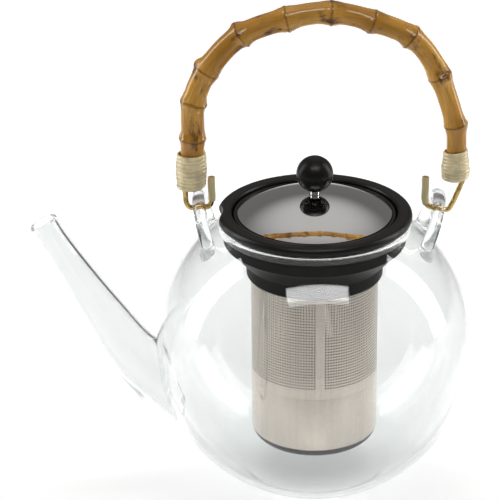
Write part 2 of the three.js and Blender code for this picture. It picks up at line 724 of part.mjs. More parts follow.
function hookChannel(curve) {
  const first = CHANNEL_FIRST_STEP;
  const radiusAt = () => WIRE_RADIUS + CONTACT_GAP;
  return bentRod(curve, radiusAt, HOOK_STEPS - first, HOOK_SIDES, first / HOOK_STEPS, 1);
}

function makeSleeve(curve) {
  const steps = SLEEVE_LAST_STEP - SLEEVE_FIRST_STEP;
  const bore = WIRE_RADIUS + SLEEVE_CLEARANCE;
  return bentTube(curve, () => sleeveRadius, () => bore, steps, HOOK_SIDES,
    SLEEVE_FIRST_STEP / HOOK_STEPS, SLEEVE_LAST_STEP / HOOK_STEPS);
}

function makeBamboo() {
  const cane = bentRod(handleCurve, bambooRadiusAt, 84, 10);
  return cut(cane, hookChannel(hookLeftCurve), hookChannel(hookRightCurve));
}

// The cane binding over one end of the handle, between two stations.
function makeWrap(outerAt, from, to, hook) {
  const innerAt = (station) => bambooRadiusAt(station) + CONTACT_GAP;
  return cut(bentTube(handleCurve, outerAt, innerAt, 4, 14, from, to), hookChannel(hook));
}

const wrapLeftEnd = WRAP_LENGTH_LEFT / handleLength;
const wrapRightStart = 1 - WRAP_LENGTH_RIGHT / handleLength;

function wrapLeftRadiusAt(station) {
  const barrel = Math.sin((Math.PI * station) / wrapLeftEnd);
  return BAMBOO_RADIUS_LEFT + WRAP_BUILD - WRAP_BARREL + WRAP_BARREL * barrel;
}

function wrapRightRadiusAt(station) {
  const down = (station - wrapRightStart) / (1 - wrapRightStart);
  return BAMBOO_RADIUS_RIGHT + WRAP_BUILD + WRAP_FLARE * Math.min(down * WRAP_FLARE_PACE, 1);
}

const handle = new THREE.Group();
handle.position.z = bailAxis;
handle.add(part('bamboo_handle', makeBamboo(), BAMBOO.clone()));
handle.add(part('wrap_left', makeWrap(wrapLeftRadiusAt, 0, wrapLeftEnd, hookLeftCurve), CANE.clone()));
handle.add(part('wrap_right', makeWrap(wrapRightRadiusAt, wrapRightStart, 1, hookRightCurve), CANE.clone()));
handle.add(part('hook_left', makeHook(hookLeftCurve), BRASS.clone()));
handle.add(part('hook_right', makeHook(hookRightCurve), BRASS.clone()));
handle.add(part('sleeve_left', makeSleeve(hookLeftCurve), SLEEVE.clone()));
handle.add(part('sleeve_right', makeSleeve(hookRightCurve), SLEEVE.clone()));
pot.add(handle);

const teapot = new THREE.Group();
teapot.add(pot);

export default teapot;
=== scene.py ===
"""Glass tea-press pot: blown globe with swan spout, steel strainer in a black collar,
domed lid with a plunger knob, and a bamboo bail handle on brass wire hooks.
Pieces stand in the frame's metres; profiles and routes are worked out in millimetres."""

import math
import random

import bpy
import numpy as np
from bpy.props import FloatProperty, FloatVectorProperty, IntProperty, PointerProperty
from mathutils import Matrix, Vector


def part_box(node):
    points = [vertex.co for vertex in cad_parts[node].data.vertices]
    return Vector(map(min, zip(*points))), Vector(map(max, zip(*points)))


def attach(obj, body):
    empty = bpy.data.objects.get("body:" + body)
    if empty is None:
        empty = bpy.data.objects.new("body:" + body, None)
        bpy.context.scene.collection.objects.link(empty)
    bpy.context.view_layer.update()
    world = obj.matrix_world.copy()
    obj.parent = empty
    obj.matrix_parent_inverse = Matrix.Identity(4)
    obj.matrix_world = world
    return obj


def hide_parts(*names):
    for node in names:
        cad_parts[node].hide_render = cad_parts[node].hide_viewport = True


bl_info = {
    "name": "Glass Tea-Press Pot",
    "version": (1, 0, 0),
    "blender": (4, 5, 0),
    "location": "View3D > Sidebar > Teapot",
    "description": "Builds the visual model of a glass tea-press pot round its packed frame",
    "category": "Add Mesh",
}

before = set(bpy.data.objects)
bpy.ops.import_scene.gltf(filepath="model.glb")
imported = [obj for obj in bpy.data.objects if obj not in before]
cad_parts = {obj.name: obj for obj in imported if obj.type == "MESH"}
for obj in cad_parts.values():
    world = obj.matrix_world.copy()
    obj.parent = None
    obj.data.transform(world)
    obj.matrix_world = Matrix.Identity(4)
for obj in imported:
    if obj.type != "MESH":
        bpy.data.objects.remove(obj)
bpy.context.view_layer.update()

MM = 0.001
TURN = math.tau


def box_mm(node):
    """Lowest and highest corners of a frame node, in millimetres."""
    low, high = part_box(node)
    return low / MM, high / MM


# ---------------------------------------------------------------- sizes and colours


def number(name, description, value, **more):
    """A number property that can't go below zero."""
    return FloatProperty(name=name, description=description, default=value, min=0, **more)


def length(name, description, mm):
    """A length property, given in millimetres and kept in metres."""
    return number(name, description, mm * MM, unit="LENGTH", precision=5)


def colour(name, description, rgb):
    return FloatVectorProperty(name=name, description=description, default=rgb, min=0, max=1, subtype="COLOR")


class TEAPOT_PG_glass(bpy.types.PropertyGroup):
    """The blown pot."""

    wall: length("Wall", "Thickness of the globe's wall", 2.4)
    foot: length("Foot radius", "Radius of the flat foot", 32)
    floor: length("Floor", "Thickness of the globe's floor", 3.6)
    mouth: length("Mouth radius", "Inner radius of the mouth", 44.5)
    lip: length("Lip", "Height of the lip above the globe", 2.9)
    spout_root: length("Spout root radius", "Outer radius where the spout leaves the globe", 14.7)
    spout_tip: length("Spout tip radius", "Outer radius at the spout's tip", 7.3)
    spout_wall: length("Spout wall", "Thickness of the spout's wall", 1.9)
    spout_reach: length("Spout reach", "How far the spout runs out from the globe", 56.7)
    weld: length("Weld flare", "How far the glass flares at a weld", 1.6)
    lug_rod: length("Lug rod radius", "Radius of the rod that the lugs are bent from", 3.1)
    lug_arch: length("Lug arch radius", "Radius of a lug's arch", 16.7)
    bail_drop: length("Bail axis drop", "How far the handle's axis lies under the lip", 4)
    tint: colour("Tint", "Colour of the glass", (0.895, 0.91, 0.907))
    ior: FloatProperty(name="Refraction", description="Index of refraction", default=1.47, min=1, max=2)


class TEAPOT_PG_infuser(bpy.types.PropertyGroup):
    """Collar and strainer."""

    hole_pitch: length("Hole pitch", "Distance between two columns of holes", 1.34)
    row_pitch: length("Row pitch", "Distance between two rows of holes", 1.5)
    hole_radius: length("Hole radius", "Radius of one hole", 0.42)
    seam_width: length("Seam width", "Width of the plain strip at the strainer's seam", 4)
    sheet: length("Sheet", "Thickness of the strainer's sheet", 0.45)
    plastic: colour("Plastic", "Colour of the collar", (0.005, 0.0042, 0.0038))
    steel: colour("Steel", "Colour of the strainer", (0.70, 0.625, 0.555))


class TEAPOT_PG_lid(bpy.types.PropertyGroup):
    """Lid and plunger."""

    dome_rise: length("Dome rise", "Height of the dome above its edge", 9.6)
    steel: colour("Polished steel", "Colour of the dome and the rod", (0.72, 0.71, 0.70))


class TEAPOT_PG_handle(bpy.types.PropertyGroup):
    """Bamboo handle and its fittings."""

    left_radius: length("Left radius", "Radius of the bamboo at its left end", 5.8)
    right_radius: length("Right radius", "Radius of the bamboo at its right end", 4.7)
    node_swell: length("Node swell", "How far a joint of the bamboo stands out", 1.0)
    band: length("Cane band", "Width of one turn of the cane binding", 1.85)
    wire: length("Wire radius", "Radius of the hooks' wire", 1.3)
    seed: IntProperty(name="Seed", description="Start of the handle's irregularities", default=7, min=0)
    bamboo: colour("Bamboo", "Main colour of the bamboo", (0.60, 0.27, 0.032))
    scorch: colour("Scorch", "Colour of the scorched patches", (0.060, 0.016, 0.003))
    cane: colour("Cane", "Colour of the binding", (0.82, 0.70, 0.42))
    brass: colour("Brass", "Colour of the wire", (0.62, 0.44, 0.17))
    sleeve: colour("Sleeve", "Colour of the plastic tube on the hooks", (0.66, 0.56, 0.31))


class TEAPOT_PG_stage(bpy.types.PropertyGroup):
    """Floor, light and camera."""

    side_light: number("Side light", "Power of each side softbox", 8, unit="POWER")
    top_light: number("Top light", "Power of the overhead softbox", 1.3, unit="POWER")
    front_light: number("Front light", "Power of the front softbox", 3.5, unit="POWER")
    shine: number("Shine", "Power per square metre of the reflected softboxes", 15)
    floor_glow: number("Floor glow", "Light that the floor gives off", 0.35)
    glow: number("Glow", "Brightness of the soft glow behind the pot", 0.62)
    room: number("Room", "Brightness of the room", 0.17)


SETTINGS = {
    "teapot_glass": TEAPOT_PG_glass,
    "teapot_infuser": TEAPOT_PG_infuser,
    "teapot_lid": TEAPOT_PG_lid,
    "teapot_handle": TEAPOT_PG_handle,
    "teapot_stage": TEAPOT_PG_stage,
}


# ---------------------------------------------------------------- where things stand (millimetres)

globe_low, globe_high = box_mm("globe")
collar_low, collar_high = box_mm("collar")
sleeve_low, sleeve_high = box_mm("strainer_sleeve")
cup_low, cup_high = box_mm("strainer_cup")
dome_low, dome_high = box_mm("lid_dome")
insert_low, insert_high = box_mm("lid_insert")
knob_low, knob_high = box_mm("knob")
rod_low, rod_high = box_mm("plunger_rod")
bamboo_top = box_mm("bamboo_handle")[1].z

GLOBE_RADIUS = (globe_high.x - globe_low.x) / 2
LIP_TOP = globe_high.z
LUGS = (
    {"name": "left", "side": -1, "offset": 4.3, "lean": math.radians(13.5), "entry": 3.9, "droop": 0},
    {"name": "right", "side": 1, "offset": 5.9, "lean": math.radians(18.5), "entry": 3.7, "droop": 1.6},
)
SPOUT_ELEVATION = math.radians(-14)
# Shares of the spout's reach and rise, from inside the globe to the tip.
SPOUT_SHARES = (
    (-0.275, -0.13), (-0.07, -0.03), (0.228, 0.153), (0.459, 0.384), (0.713, 0.662), (0.912, 0.887), (1, 1),
)
# Shares of the handle's span and rise, from its left end to its right end.
HANDLE_SHARES = (
    (0, 0), (0.002, 0.158), (0.006, 0.304), (0.017, 0.507), (0.072, 0.693), (0.183, 0.878), (0.363, 0.974),
    (0.527, 1), (0.68, 0.957), (0.825, 0.859), (0.935, 0.651), (0.988, 0.394), (0.998, 0.214), (1, 0.039),
)
HANDLE_RISE = 110.6
HANDLE_SWING = math.radians(45)
# How far the grip's ends stand out from the lugs' arches and above them.
GRIP_END_LEFT = (3.4, 2.1)
GRIP_END_RIGHT = 7.6
CONTACT_GAP = 0.3
HOOK_CLEARANCE = 0.35
HOOK_TIP_RISE = 12.5
HOOK_STEPS = 30
SLEEVE_WALL = 0.35
SLEEVE_CLEARANCE = 0.15
# Shares of the handle's length: scorched stretches, then joints.
SCORCHED = (0.335, 0.565, 0.835)
BAMBOO_NODES = (0.104, 0.179, 0.246, 0.345, 0.4385, 0.523, 0.602, 0.682, 0.778, 0.884)


# ---------------------------------------------------------------- routes


class Route:
    """A smooth plane curve through (x, z) pairs in millimetres, read by its share of the whole length."""

    def __init__(self, pairs, per_span=40):
        knots = [np.array(pair, float) for pair in pairs]
        knots = [2 * knots[0] - knots[1], *knots, 2 * knots[-1] - knots[-2]]
        places = []
        for a, b, c, d in zip(knots, knots[1:], knots[2:], knots[3:]):
            gaps = [np.linalg.norm(q - p) ** 0.5 for p, q in ((a, b), (b, c), (c, d))]
            leave = ((b - a) / gaps[0] - (c - a) / (gaps[0] + gaps[1]) + (c - b) / gaps[1]) * gaps[1]
            reach = ((c - b) / gaps[1] - (d - b) / (gaps[1] + gaps[2]) + (d - c) / gaps[2]) * gaps[1]
            for k in range(per_span):
                w = k / per_span
                bend = (3 * (c - b) - 2 * leave - reach) * w**2
                places.append(b + leave * w + bend + (2 * (b - c) + leave + reach) * w**3)
        places.append(knots[-2])
        self.places = np.array(places)
        steps = np.linalg.norm(np.diff(self.places, axis=0), axis=1)
        self.travel = np.concatenate([[0], np.cumsum(steps)])
        self.length = float(self.travel[-1])

    def at(self, share):
        """The (x, z) place at a share of the length. Shares outside 0 to 1 run straight on."""
        inside = min(max(share, 0.0), 1.0)
        travel = inside * self.length
        place = np.array([np.interp(travel, self.travel, self.places[:, axis]) for axis in (0, 1)])
        if share != inside:
            end = self.places[-1] - self.places[-3] if share > 1 else self.places[2] - self.places[0]
            place = place + end / np.linalg.norm(end) * (share - inside) * self.length
        return place


def spout_route(glass):
    root_x = -GLOBE_RADIUS * math.cos(SPOUT_ELEVATION)
    root_z = globe_centre(glass) + GLOBE_RADIUS * math.sin(SPOUT_ELEVATION)
    rise = LIP_TOP + 0.3 - root_z
    reach = glass.spout_reach / MM
    return Route([(root_x - along * reach, root_z + up * rise) for along, up in SPOUT_SHARES])


def globe_centre(glass):
    return math.sqrt(GLOBE_RADIUS**2 - (glass.foot / MM) ** 2)


def bail_axis(glass):
    return LIP_TOP - glass.bail_drop / MM


def lug_place(glass, lug):
    """Where a lug's feet and arch stand, on its own side of the pot."""
    arch = glass.lug_arch / MM
    foot_x = (glass.mouth + glass.wall) / MM + lug["offset"]
    foot_z = globe_centre(glass) + math.sqrt(GLOBE_RADIUS**2 - foot_x**2 - arch**2)
    apex_z = bail_axis(glass) + arch * math.cos(lug["lean"])
    return {
        "apex_z": apex_z,
        "apex_x": foot_x + (apex_z - foot_z) * math.tan(lug["lean"]),
        "leg": (bail_axis(glass) - foot_z) / math.cos(lug["lean"]),
    }


def handle_route(glass):
    left, right = (lug_place(glass, lug) for lug in LUGS)
    start_x = -(left["apex_x"] + GRIP_END_LEFT[0])
    start_z = left["apex_z"] + glass.lug_rod / MM + GRIP_END_LEFT[1]
    span = right["apex_x"] + GRIP_END_RIGHT - start_x
    rise = bail_axis(glass) + HANDLE_RISE - start_z
    return Route([(start_x + span * across, start_z + rise * up) for across, up in HANDLE_SHARES])


def hook_route(glass, handle, lug):
    """Tip, straight inner limb, round under the lug, then up into the handle's end."""
    place = lug_place(glass, lug)
    end = handle_route(glass).at(0 if lug["side"] < 0 else 1)
    rod = glass.lug_rod / MM
    wire = handle.wire / MM
    sleeve = wire + SLEEVE_CLEARANCE + SLEEVE_WALL
    swing_room = glass.lug_arch / MM * (1 - math.cos(HANDLE_SWING)) * math.sin(lug["lean"])
    inner_x = place["apex_x"] - (rod + swing_room + CONTACT_GAP + sleeve)
    apex_z = place["apex_z"]
    bottom_z = apex_z - rod - HOOK_CLEARANCE - wire
    outer_x = place["apex_x"] + rod + HOOK_CLEARANCE + wire
    entry_x = abs(end[0]) + lug["entry"]
    droop = lug["droop"]
    inner_limb = [(inner_x, apex_z + up) for up in (HOOK_TIP_RISE, HOOK_TIP_RISE / 2, -1.5)]
    saddle = [(inner_x + 1.3, bottom_z + 0.6), (place["apex_x"] - 1.2, bottom_z - 0.2 - droop / 2)]
    outer_bend = [(outer_x - 0.6, bottom_z - droop), (outer_x + 1, bottom_z + 2 - droop)]
    buried = [(entry_x - 0.9, end[1] - 2), (entry_x, end[1] + 1), (entry_x - 0.6, end[1] + 8)]
    return Route([(lug["side"] * x, z) for x, z in inner_limb + saddle + outer_bend + buried])


# ---------------------------------------------------------------- modelling steps


def deselect():
    if bpy.context.object and bpy.context.object.mode != "OBJECT":
        bpy.ops.object.mode_set(mode="OBJECT")
    bpy.ops.object.select_all(action="DESELECT")


def make_active(obj):
    deselect()
    obj.select_set(True)
    bpy.context.view_layer.objects.active = obj


def apply_modifier(obj, kind, **settings):
    make_active(obj)
    bpy.ops.object.modifier_add(type=kind)
    modifier = obj.modifiers[-1]
    for key, value in settings.items():
        setattr(modifier, key, value)
    bpy.ops.object.modifier_apply(modifier=modifier.name)


def read_places(obj):
    """The vertices' places in metres, as an array of (x, y, z) rows."""
    places = np.empty(len(obj.data.vertices) * 3)
    obj.data.vertices.foreach_get("co", places)
    return places.reshape(-1, 3)


def write_places(obj, places):
    obj.data.vertices.foreach_set("co", places.ravel())


def tidy_shell(obj):
    """Merges doubles, drops loose edges and turns every face outwards."""
    make_active(obj)
    bpy.ops.object.mode_set(mode="EDIT")
    bpy.ops.mesh.select_all(action="SELECT")
    bpy.ops.mesh.remove_doubles(threshold=1e-7)
    bpy.ops.mesh.dissolve_degenerate(threshold=1e-7)
    bpy.ops.mesh.delete_loose()
    bpy.ops.mesh.select_all(action="SELECT")
    bpy.ops.mesh.normals_make_consistent(inside=False)
    bpy.ops.object.mode_set(mode="OBJECT")


def smooth(obj, degrees=35):
    make_active(obj)
    bpy.ops.object.shade_smooth_by_angle(angle=math.radians(degrees))


def arc(centre_r, centre_z, radius, start, end, steps):
    """(r, z) pairs on a circular arc, in degrees from +r towards +z."""
    angles = [math.radians(start + (end - start) * k / steps) for k in range(steps + 1)]
    return [(centre_r + radius * math.cos(a), centre_z + radius * math.sin(a)) for a in angles]


def rounded(profile, radius, steps=3):
    """Rounds every corner of a closed profile by up to the radius."""
    result = []
    count = len(profile)
    for i, corner in enumerate(profile):
        here = np.array(corner, float)
        before = np.array(profile[i - 1], float) - here
        after = np.array(profile[(i + 1) % count], float) - here
        bend = min(radius, 0.45 * np.linalg.norm(before), 0.45 * np.linalg.norm(after))
        if corner[0] < 1e-6:
            result.append(tuple(here))
            continue
        start = here + before / np.linalg.norm(before) * bend
        end = here + after / np.linalg.norm(after) * bend
        for k in range(steps + 1):
            t = k / steps
            result.append(tuple((1 - t) ** 2 * start + 2 * t * (1 - t) * here + t * t * end))
    return result


def outline(name, pairs):
    """A closed ring of vertices through (r, z) pairs, standing in the XZ plane."""
    deselect()
    bpy.ops.mesh.primitive_circle_add(vertices=len(pairs), radius=0.01)
    obj = bpy.context.object
    obj.name = name
    for vertex, (r, z) in zip(obj.data.vertices, pairs):
        vertex.co = (r * MM, 0, z * MM)
    return obj


def turned(name, profile, steps):
    """Spins a closed profile of (r, z) pairs right round the Z axis."""
    obj = outline(name, profile)
    bpy.ops.object.mode_set(mode="EDIT")
    bpy.ops.mesh.select_all(action="SELECT")
    bpy.ops.mesh.spin(steps=steps, angle=TURN, center=(0, 0, 0), axis=(0, 0, 1))
    bpy.ops.object.mode_set(mode="OBJECT")
    tidy_shell(obj)
    return obj


def rod(name, route, radius_at, steps, sides, start=0.0, end=1.0, lay=None, capped=True):
    """A round rod along a route, made as a bevelled path. lay puts a route's pair in space."""
    lay = lay or (lambda a, b: (a, 0, b))
    deselect()
    bpy.ops.curve.primitive_nurbs_path_add()
    obj = bpy.context.object
    obj.name = name
    path = obj.data
    path.splines.clear()
    spline = path.splines.new("POLY")
    spline.points.add(steps)
    for k, point in enumerate(spline.points):
        share = start + (end - start) * k / steps
        place = Vector(lay(*route.at(share))) * MM
        point.co = (*place, 1)
        point.radius = radius_at(share) * MM
    path.dimensions = "3D"
    path.bevel_depth = 1
    path.bevel_resolution = sides // 2 - 2
    path.use_fill_caps = capped
    make_active(obj)
    bpy.ops.object.convert(target="MESH")
    obj = bpy.context.object
    if capped:
        tidy_shell(obj)
    return obj


def combine(target, tool, operation):
    """Joins the tool to the target or cuts it away, and removes the tool."""
    apply_modifier(target, "BOOLEAN", object=tool, operation=operation, solver="EXACT")
    bpy.data.objects.remove(tool)
    return target


def store_straight(obj):
    """Keeps each vertex's place on the straight piece, for patterns that follow the bend."""
    attribute = obj.data.attributes.new("straight", "FLOAT_VECTOR", "POINT")
    attribute.data.foreach_set("vector", read_places(obj).astype(np.float32).ravel())


def bend_along(obj, route, start=0.0):
    """Lays a straight piece, which stands along Z, on a route from a share of its length."""
    deselect()
    bpy.ops.curve.primitive_bezier_curve_add()
    guide = bpy.context.object
    spline = guide.data.splines[0]
    knots = 90
    steps_per_knot = 8
    spline.bezier_points.add(knots - 2)
    for k, point in enumerate(spline.bezier_points):
        x, z = route.at(start + (1 - start) * k / (knots - 1))
        point.co = (x * MM, 0, z * MM)
        point.handle_left_type = point.handle_right_type = "AUTO"
    guide.data.dimensions = "3D"
    guide.data.twist_mode = "MINIMUM"
    guide.data.resolution_u = steps_per_knot
    apply_modifier(obj, "CURVE", object=guide, deform_axis="POS_Z")
    bpy.data.objects.remove(guide)


def mount(obj, body, slot, *nodes):
    """Gives a finished piece its finish, its body and the frame nodes that it stands for."""
    obj.data.materials.clear()
    obj.data.materials.append(material(slot))
    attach(obj, body)
    if nodes:
        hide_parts(*nodes)
    return obj


# ---------------------------------------------------------------- shader writing


class Value:
    """A socket or number that maths can be written on."""

    def __init__(self, finish, socket):
        self.finish = finish
        self.socket = socket

    def _math(self, operation, first, second=None):
        values = {0: first} if second is None else {0: first, 1: second}
        made = self.finish.node("ShaderNodeMath", {"operation": operation}, values)
        return Value(self.finish, made.outputs[0])

    def __add__(self, other):
        return self._math("ADD", self, other)

    __radd__ = __add__

    def __mul__(self, other):
        return self._math("MULTIPLY", self, other)

    __rmul__ = __mul__

    def __sub__(self, other):
        return self._math("SUBTRACT", self, other)

    def __rsub__(self, other):
        return self._math("SUBTRACT", other, self)

    def __truediv__(self, other):
        return self._math("DIVIDE", self, other)

    def __pow__(self, other):
        return self._math("POWER", self, other)

    def __abs__(self):
        return self._math("ABSOLUTE", self)

    def sine(self):
        return self._math("SINE", self)

    def at_least(self, other):
        return self._math("MAXIMUM", self, other)

    def step(self, low, high, start=0.0, end=1.0):
        """Rises smoothly from start to end as the value goes from low to high."""
        settings = {"interpolation_type": "SMOOTHSTEP", "clamp": True}
        values = {0: self, 1: low, 2: high, 3: start, 4: end}
        return Value(self.finish, self.finish.node("ShaderNodeMapRange", settings, values).outputs[0])


class Finish:
    """One procedural material, or the room's light when it is given a world."""

    def __init__(self, name, owner=None):
        self.owner = owner or bpy.data.materials.new(name)
        self.owner.use_nodes = True
        self.tree = self.owner.node_tree
        self.tree.nodes.clear()

    def node(self, kind, settings=None, values=None):
        """Adds a node, sets its settings first, then its sockets' values or links."""
        node = self.tree.nodes.new(kind)
        for key, value in (settings or {}).items():
            setattr(node, key, value)
        for key, value in (values or {}).items():
            value = value.socket if isinstance(value, Value) else value
            if isinstance(value, bpy.types.NodeSocket):
                self.tree.links.new(value, node.inputs[key])
            else:
                node.inputs[key].default_value = value
        return node

    def place(self, stretch=(1, 1, 1), attribute=None):
        """Object coordinates, or a stored attribute, in metres, stretched."""
        if attribute:
            source = self.node("ShaderNodeAttribute", {"attribute_name": attribute}).outputs["Vector"]
        else:
            source = self.node("ShaderNodeTexCoord").outputs["Object"]
        return self.node("ShaderNodeMapping", None, {"Vector": source, "Scale": stretch}).outputs[0]

    def axis(self, source, name):
        """One axis of a vector, as a value."""
        return Value(self, self.node("ShaderNodeSeparateXYZ", None, {0: source}).outputs[name])

    def noise(self, source, scale, detail=3.0, roughness=0.5):
        values = {"Vector": source, "Scale": scale, "Detail": detail, "Roughness": roughness}
        return Value(self, self.node("ShaderNodeTexNoise", None, values).outputs["Fac"])

    def blend(self, factor, first, second, kind="MIX"):
        """A colour between two colours."""
        node = self.node("ShaderNodeMix", {"data_type": "RGBA", "blend_type": kind, "clamp_factor": True})
        for socket, value in ((node.inputs[0], factor), (node.inputs[6], first), (node.inputs[7], second)):
            value = value.socket if isinstance(value, Value) else value
            if isinstance(value, bpy.types.NodeSocket):
                self.tree.links.new(value, socket)
            else:
                socket.default_value = value
        return node.outputs[2]

    def bump(self, height, strength, distance):
        values = {"Height": height, "Strength": strength, "Distance": distance}
        return self.node("ShaderNodeBump", None, values).outputs[0]

    def shader(self, values):
        return self.node("ShaderNodeBsdfPrincipled", None, values).outputs[0]

    def end(self, surface, output="ShaderNodeOutputMaterial"):
        self.node(output, None, {"Surface": surface})
        return self.owner


def rgba(rgb, factor=1.0):
    return (rgb[0] * factor, rgb[1] * factor, rgb[2] * factor, 1)


def glass_finish(glass):
    """Clear glass. Light that is caught in the wall, or that casts a shadow, passes straight on."""
    finish = Finish("glass")
    breath = finish.noise(finish.place(), 14, 2)
    tint = finish.blend(breath, rgba(glass.tint), rgba(glass.tint, 1.025))
    body = finish.shader({
        "Base Color": tint, "Roughness": 0.0, "Transmission Weight": 1.0,
        "IOR": glass.ior,
    })
    clear = finish.node("ShaderNodeBsdfTransparent", None, {"Color": (0.93, 0.94, 0.938, 1)}).outputs[0]
    path = finish.node("ShaderNodeLightPath")
    trapped = Value(finish, path.outputs["Ray Depth"]).step(3, 5)
    passing = trapped.at_least(Value(finish, path.outputs["Is Shadow Ray"]))
    return finish.end(finish.node("ShaderNodeMixShader", None, {0: passing, 1: body, 2: clear}).outputs[0])


def plastic_finish(name, rgb, gloss, coarse):
    """Moulded plastic or rubber: faint mottling and a fine grain. What stands above the lip is polished."""
    finish = Finish(name)
    where = finish.place()
    mottle = finish.noise(where, 60, 3)
    grain = finish.noise(where, 2600, 2)
    polished = finish.axis(where, "Z").step((LIP_TOP - 8) * MM, (LIP_TOP + 1) * MM)
    return finish.end(finish.shader({
        "Base Color": finish.blend(mottle, rgba(rgb, 0.75), rgba(rgb, 1.35)),
        "Roughness": mottle.step(0.3, 0.7, gloss, gloss + 0.08),
        "Specular IOR Level": 0.03,
        "Coat Weight": polished * 0.45,
        "Coat Roughness": gloss * 1.2,
        "Normal": finish.bump(grain, coarse, 0.00003),
    }))


def mirror_finish(rgb):
    """Polished steel with the faintest turning marks and a few smears."""
    finish = Finish("mirror_steel")
    where = finish.place()
    smear = finish.noise(where, 45, 4, 0.6)
    x, y = finish.axis(where, "X"), finish.axis(where, "Y")
    radius = (x * x + y * y) ** 0.5
    turning = (radius * 14000).sine()
    return finish.end(finish.shader({
        "Base Color": finish.blend(smear, rgba(rgb, 0.94), rgba(rgb, 1.04)),
        "Metallic": 1.0,
        "Roughness": smear.step(0.45, 0.75, 0.045, 0.1),
        "Normal": finish.bump(turning, 0.03, 0.000003),
    }))


def satin_finish(rgb):
    """Rolled sheet, bright outside. Inside and on the walls of its holes it is duller, and painted near black
    as painted shade.
    """
    finish = Finish("satin_steel")
    where = finish.place()
    brushed = finish.noise(finish.place((1, 1, 0.03)), 520, 3, 0.6)
    cloud = finish.noise(where, 35, 2)
    x, y = finish.axis(where, "X"), finish.axis(where, "Y")
    radius = (x * x + y * y) ** 0.5
    skin = sleeve_high.x * MM
    # Mask of the inside skin and the hole walls. The Base Color below paints them near black as painted shade
    # for the dark inside of the strainer.
    inside = radius.step(skin - 0.00022, skin - 0.00004, 1, 0)
    bright = finish.blend(brushed, rgba(rgb, 0.9), rgba(rgb, 1.08))
    clouded = finish.blend(cloud * 0.35, bright, rgba(rgb, 0.86))
    return finish.end(finish.shader({
        # Painted shade: the inside and the hole walls take 5% of the steel's colour.
        "Base Color": finish.blend(inside, clouded, rgba(rgb, 0.05)),
        "Metallic": 1.0,
        "Roughness": brushed * 0.05 + inside * 0.3 + 0.15,
        "Normal": finish.bump(brushed, 0.05, 0.00001),
    }))


def bamboo_finish(handle, route):
    """Varnished bamboo: streaks along the cane, scorched patches and dark rings at its joints."""
    finish = Finish("bamboo")
    straight = finish.place(attribute="straight")
    along = finish.axis(straight, "Z")
    streaks = finish.noise(finish.place((1, 1, 0.07), "straight"), 900, 4, 0.6)
    blotch = finish.noise(finish.place((1, 1, 0.45), "straight"), 130, 4, 0.62)
    tone = finish.noise(finish.place((1, 1, 0.3), "straight"), 60, 2)
    near = None
    ring = None
    wander = blotch * 0.003 - 0.0015
    for share in BAMBOO_NODES:
        gap = abs(along + wander - share * route.length * MM)
        wide = gap.step(0.0015, 0.0095, 1, 0)
        thin = gap.step(0.0002, 0.0008, 1, 0)
        near = wide if near is None else near.at_least(wide)
        ring = thin if ring is None else ring.at_least(thin)
    outer_side = finish.axis(straight, "X").step(-0.0005, 0.004)
    patch = None
    for share in SCORCHED:
        dark = abs(along + wander * 2 - share * route.length * MM).step(0.003, 0.0085, 1, 0)
        patch = dark if patch is None else patch.at_least(dark)
    scorch = (blotch + near * 0.06 + patch * outer_side * 0.22).step(0.56, 0.72)
    pale = finish.blend(tone.step(0.3, 0.7), rgba(handle.bamboo, 0.7), rgba((0.78, 0.42, 0.085)))
    streaked = finish.blend(streaks.step(0.4, 0.75) * 0.45, pale, rgba(handle.bamboo, 0.5))
    burnt = finish.blend(scorch * 0.9, streaked, rgba(handle.scorch))
    ringed = finish.blend(ring * 0.5, burnt, rgba(handle.scorch, 0.8))
    return finish.end(finish.shader({
        "Base Color": ringed,
        "Roughness": scorch.step(0, 1, 0.26, 0.42),
        "Specular IOR Level": 0.15,
        "Coat Weight": 0.5,
        "Coat Roughness": 0.05,
        "Normal": finish.bump(streaks + blotch * 0.7, 0.35, 0.00025),
    }))


def cane_finish(handle):
    finish = Finish("cane")
    fibres = finish.noise(finish.place((1, 1, 9)), 260, 4, 0.6)
    patch = finish.noise(finish.place(), 170, 3)
    pale = finish.blend(patch.step(0.35, 0.7), rgba(handle.cane, 1.12), rgba(handle.cane, 0.74))
    return finish.end(finish.shader({
        "Base Color": finish.blend(fibres.step(0.5, 0.8) * 0.35, pale, rgba((0.38, 0.30, 0.15))),
        "Roughness": patch.step(0.3, 0.7, 0.36, 0.5),
        "Coat Weight": 0.6,
        "Coat Roughness": 0.12,
        "Normal": finish.bump(fibres, 0.2, 0.0001),
    }))


def brass_finish(handle):
    finish = Finish("brass")
    tarnish = finish.noise(finish.place(), 330, 4, 0.6)
    return finish.end(finish.shader({
        "Base Color": finish.blend(tarnish.step(0.45, 0.75), rgba(handle.brass), rgba(handle.brass, 0.5)),
        "Metallic": 1.0,
        "Roughness": tarnish.step(0.35, 0.75, 0.18, 0.4),
        "Normal": finish.bump(tarnish, 0.1, 0.00005),
    }))


def sleeve_finish(handle):
    finish = Finish("sleeve")
    cloud = finish.noise(finish.place(), 240, 3)
    return finish.end(finish.shader({
        "Base Color": finish.blend(cloud, rgba(handle.sleeve, 0.85), rgba(handle.sleeve, 1.15)),
        "Roughness": cloud.step(0.3, 0.7, 0.3, 0.45),
        "Subsurface Weight": 0.2,
        "Subsurface Scale": 0.002,
    }))


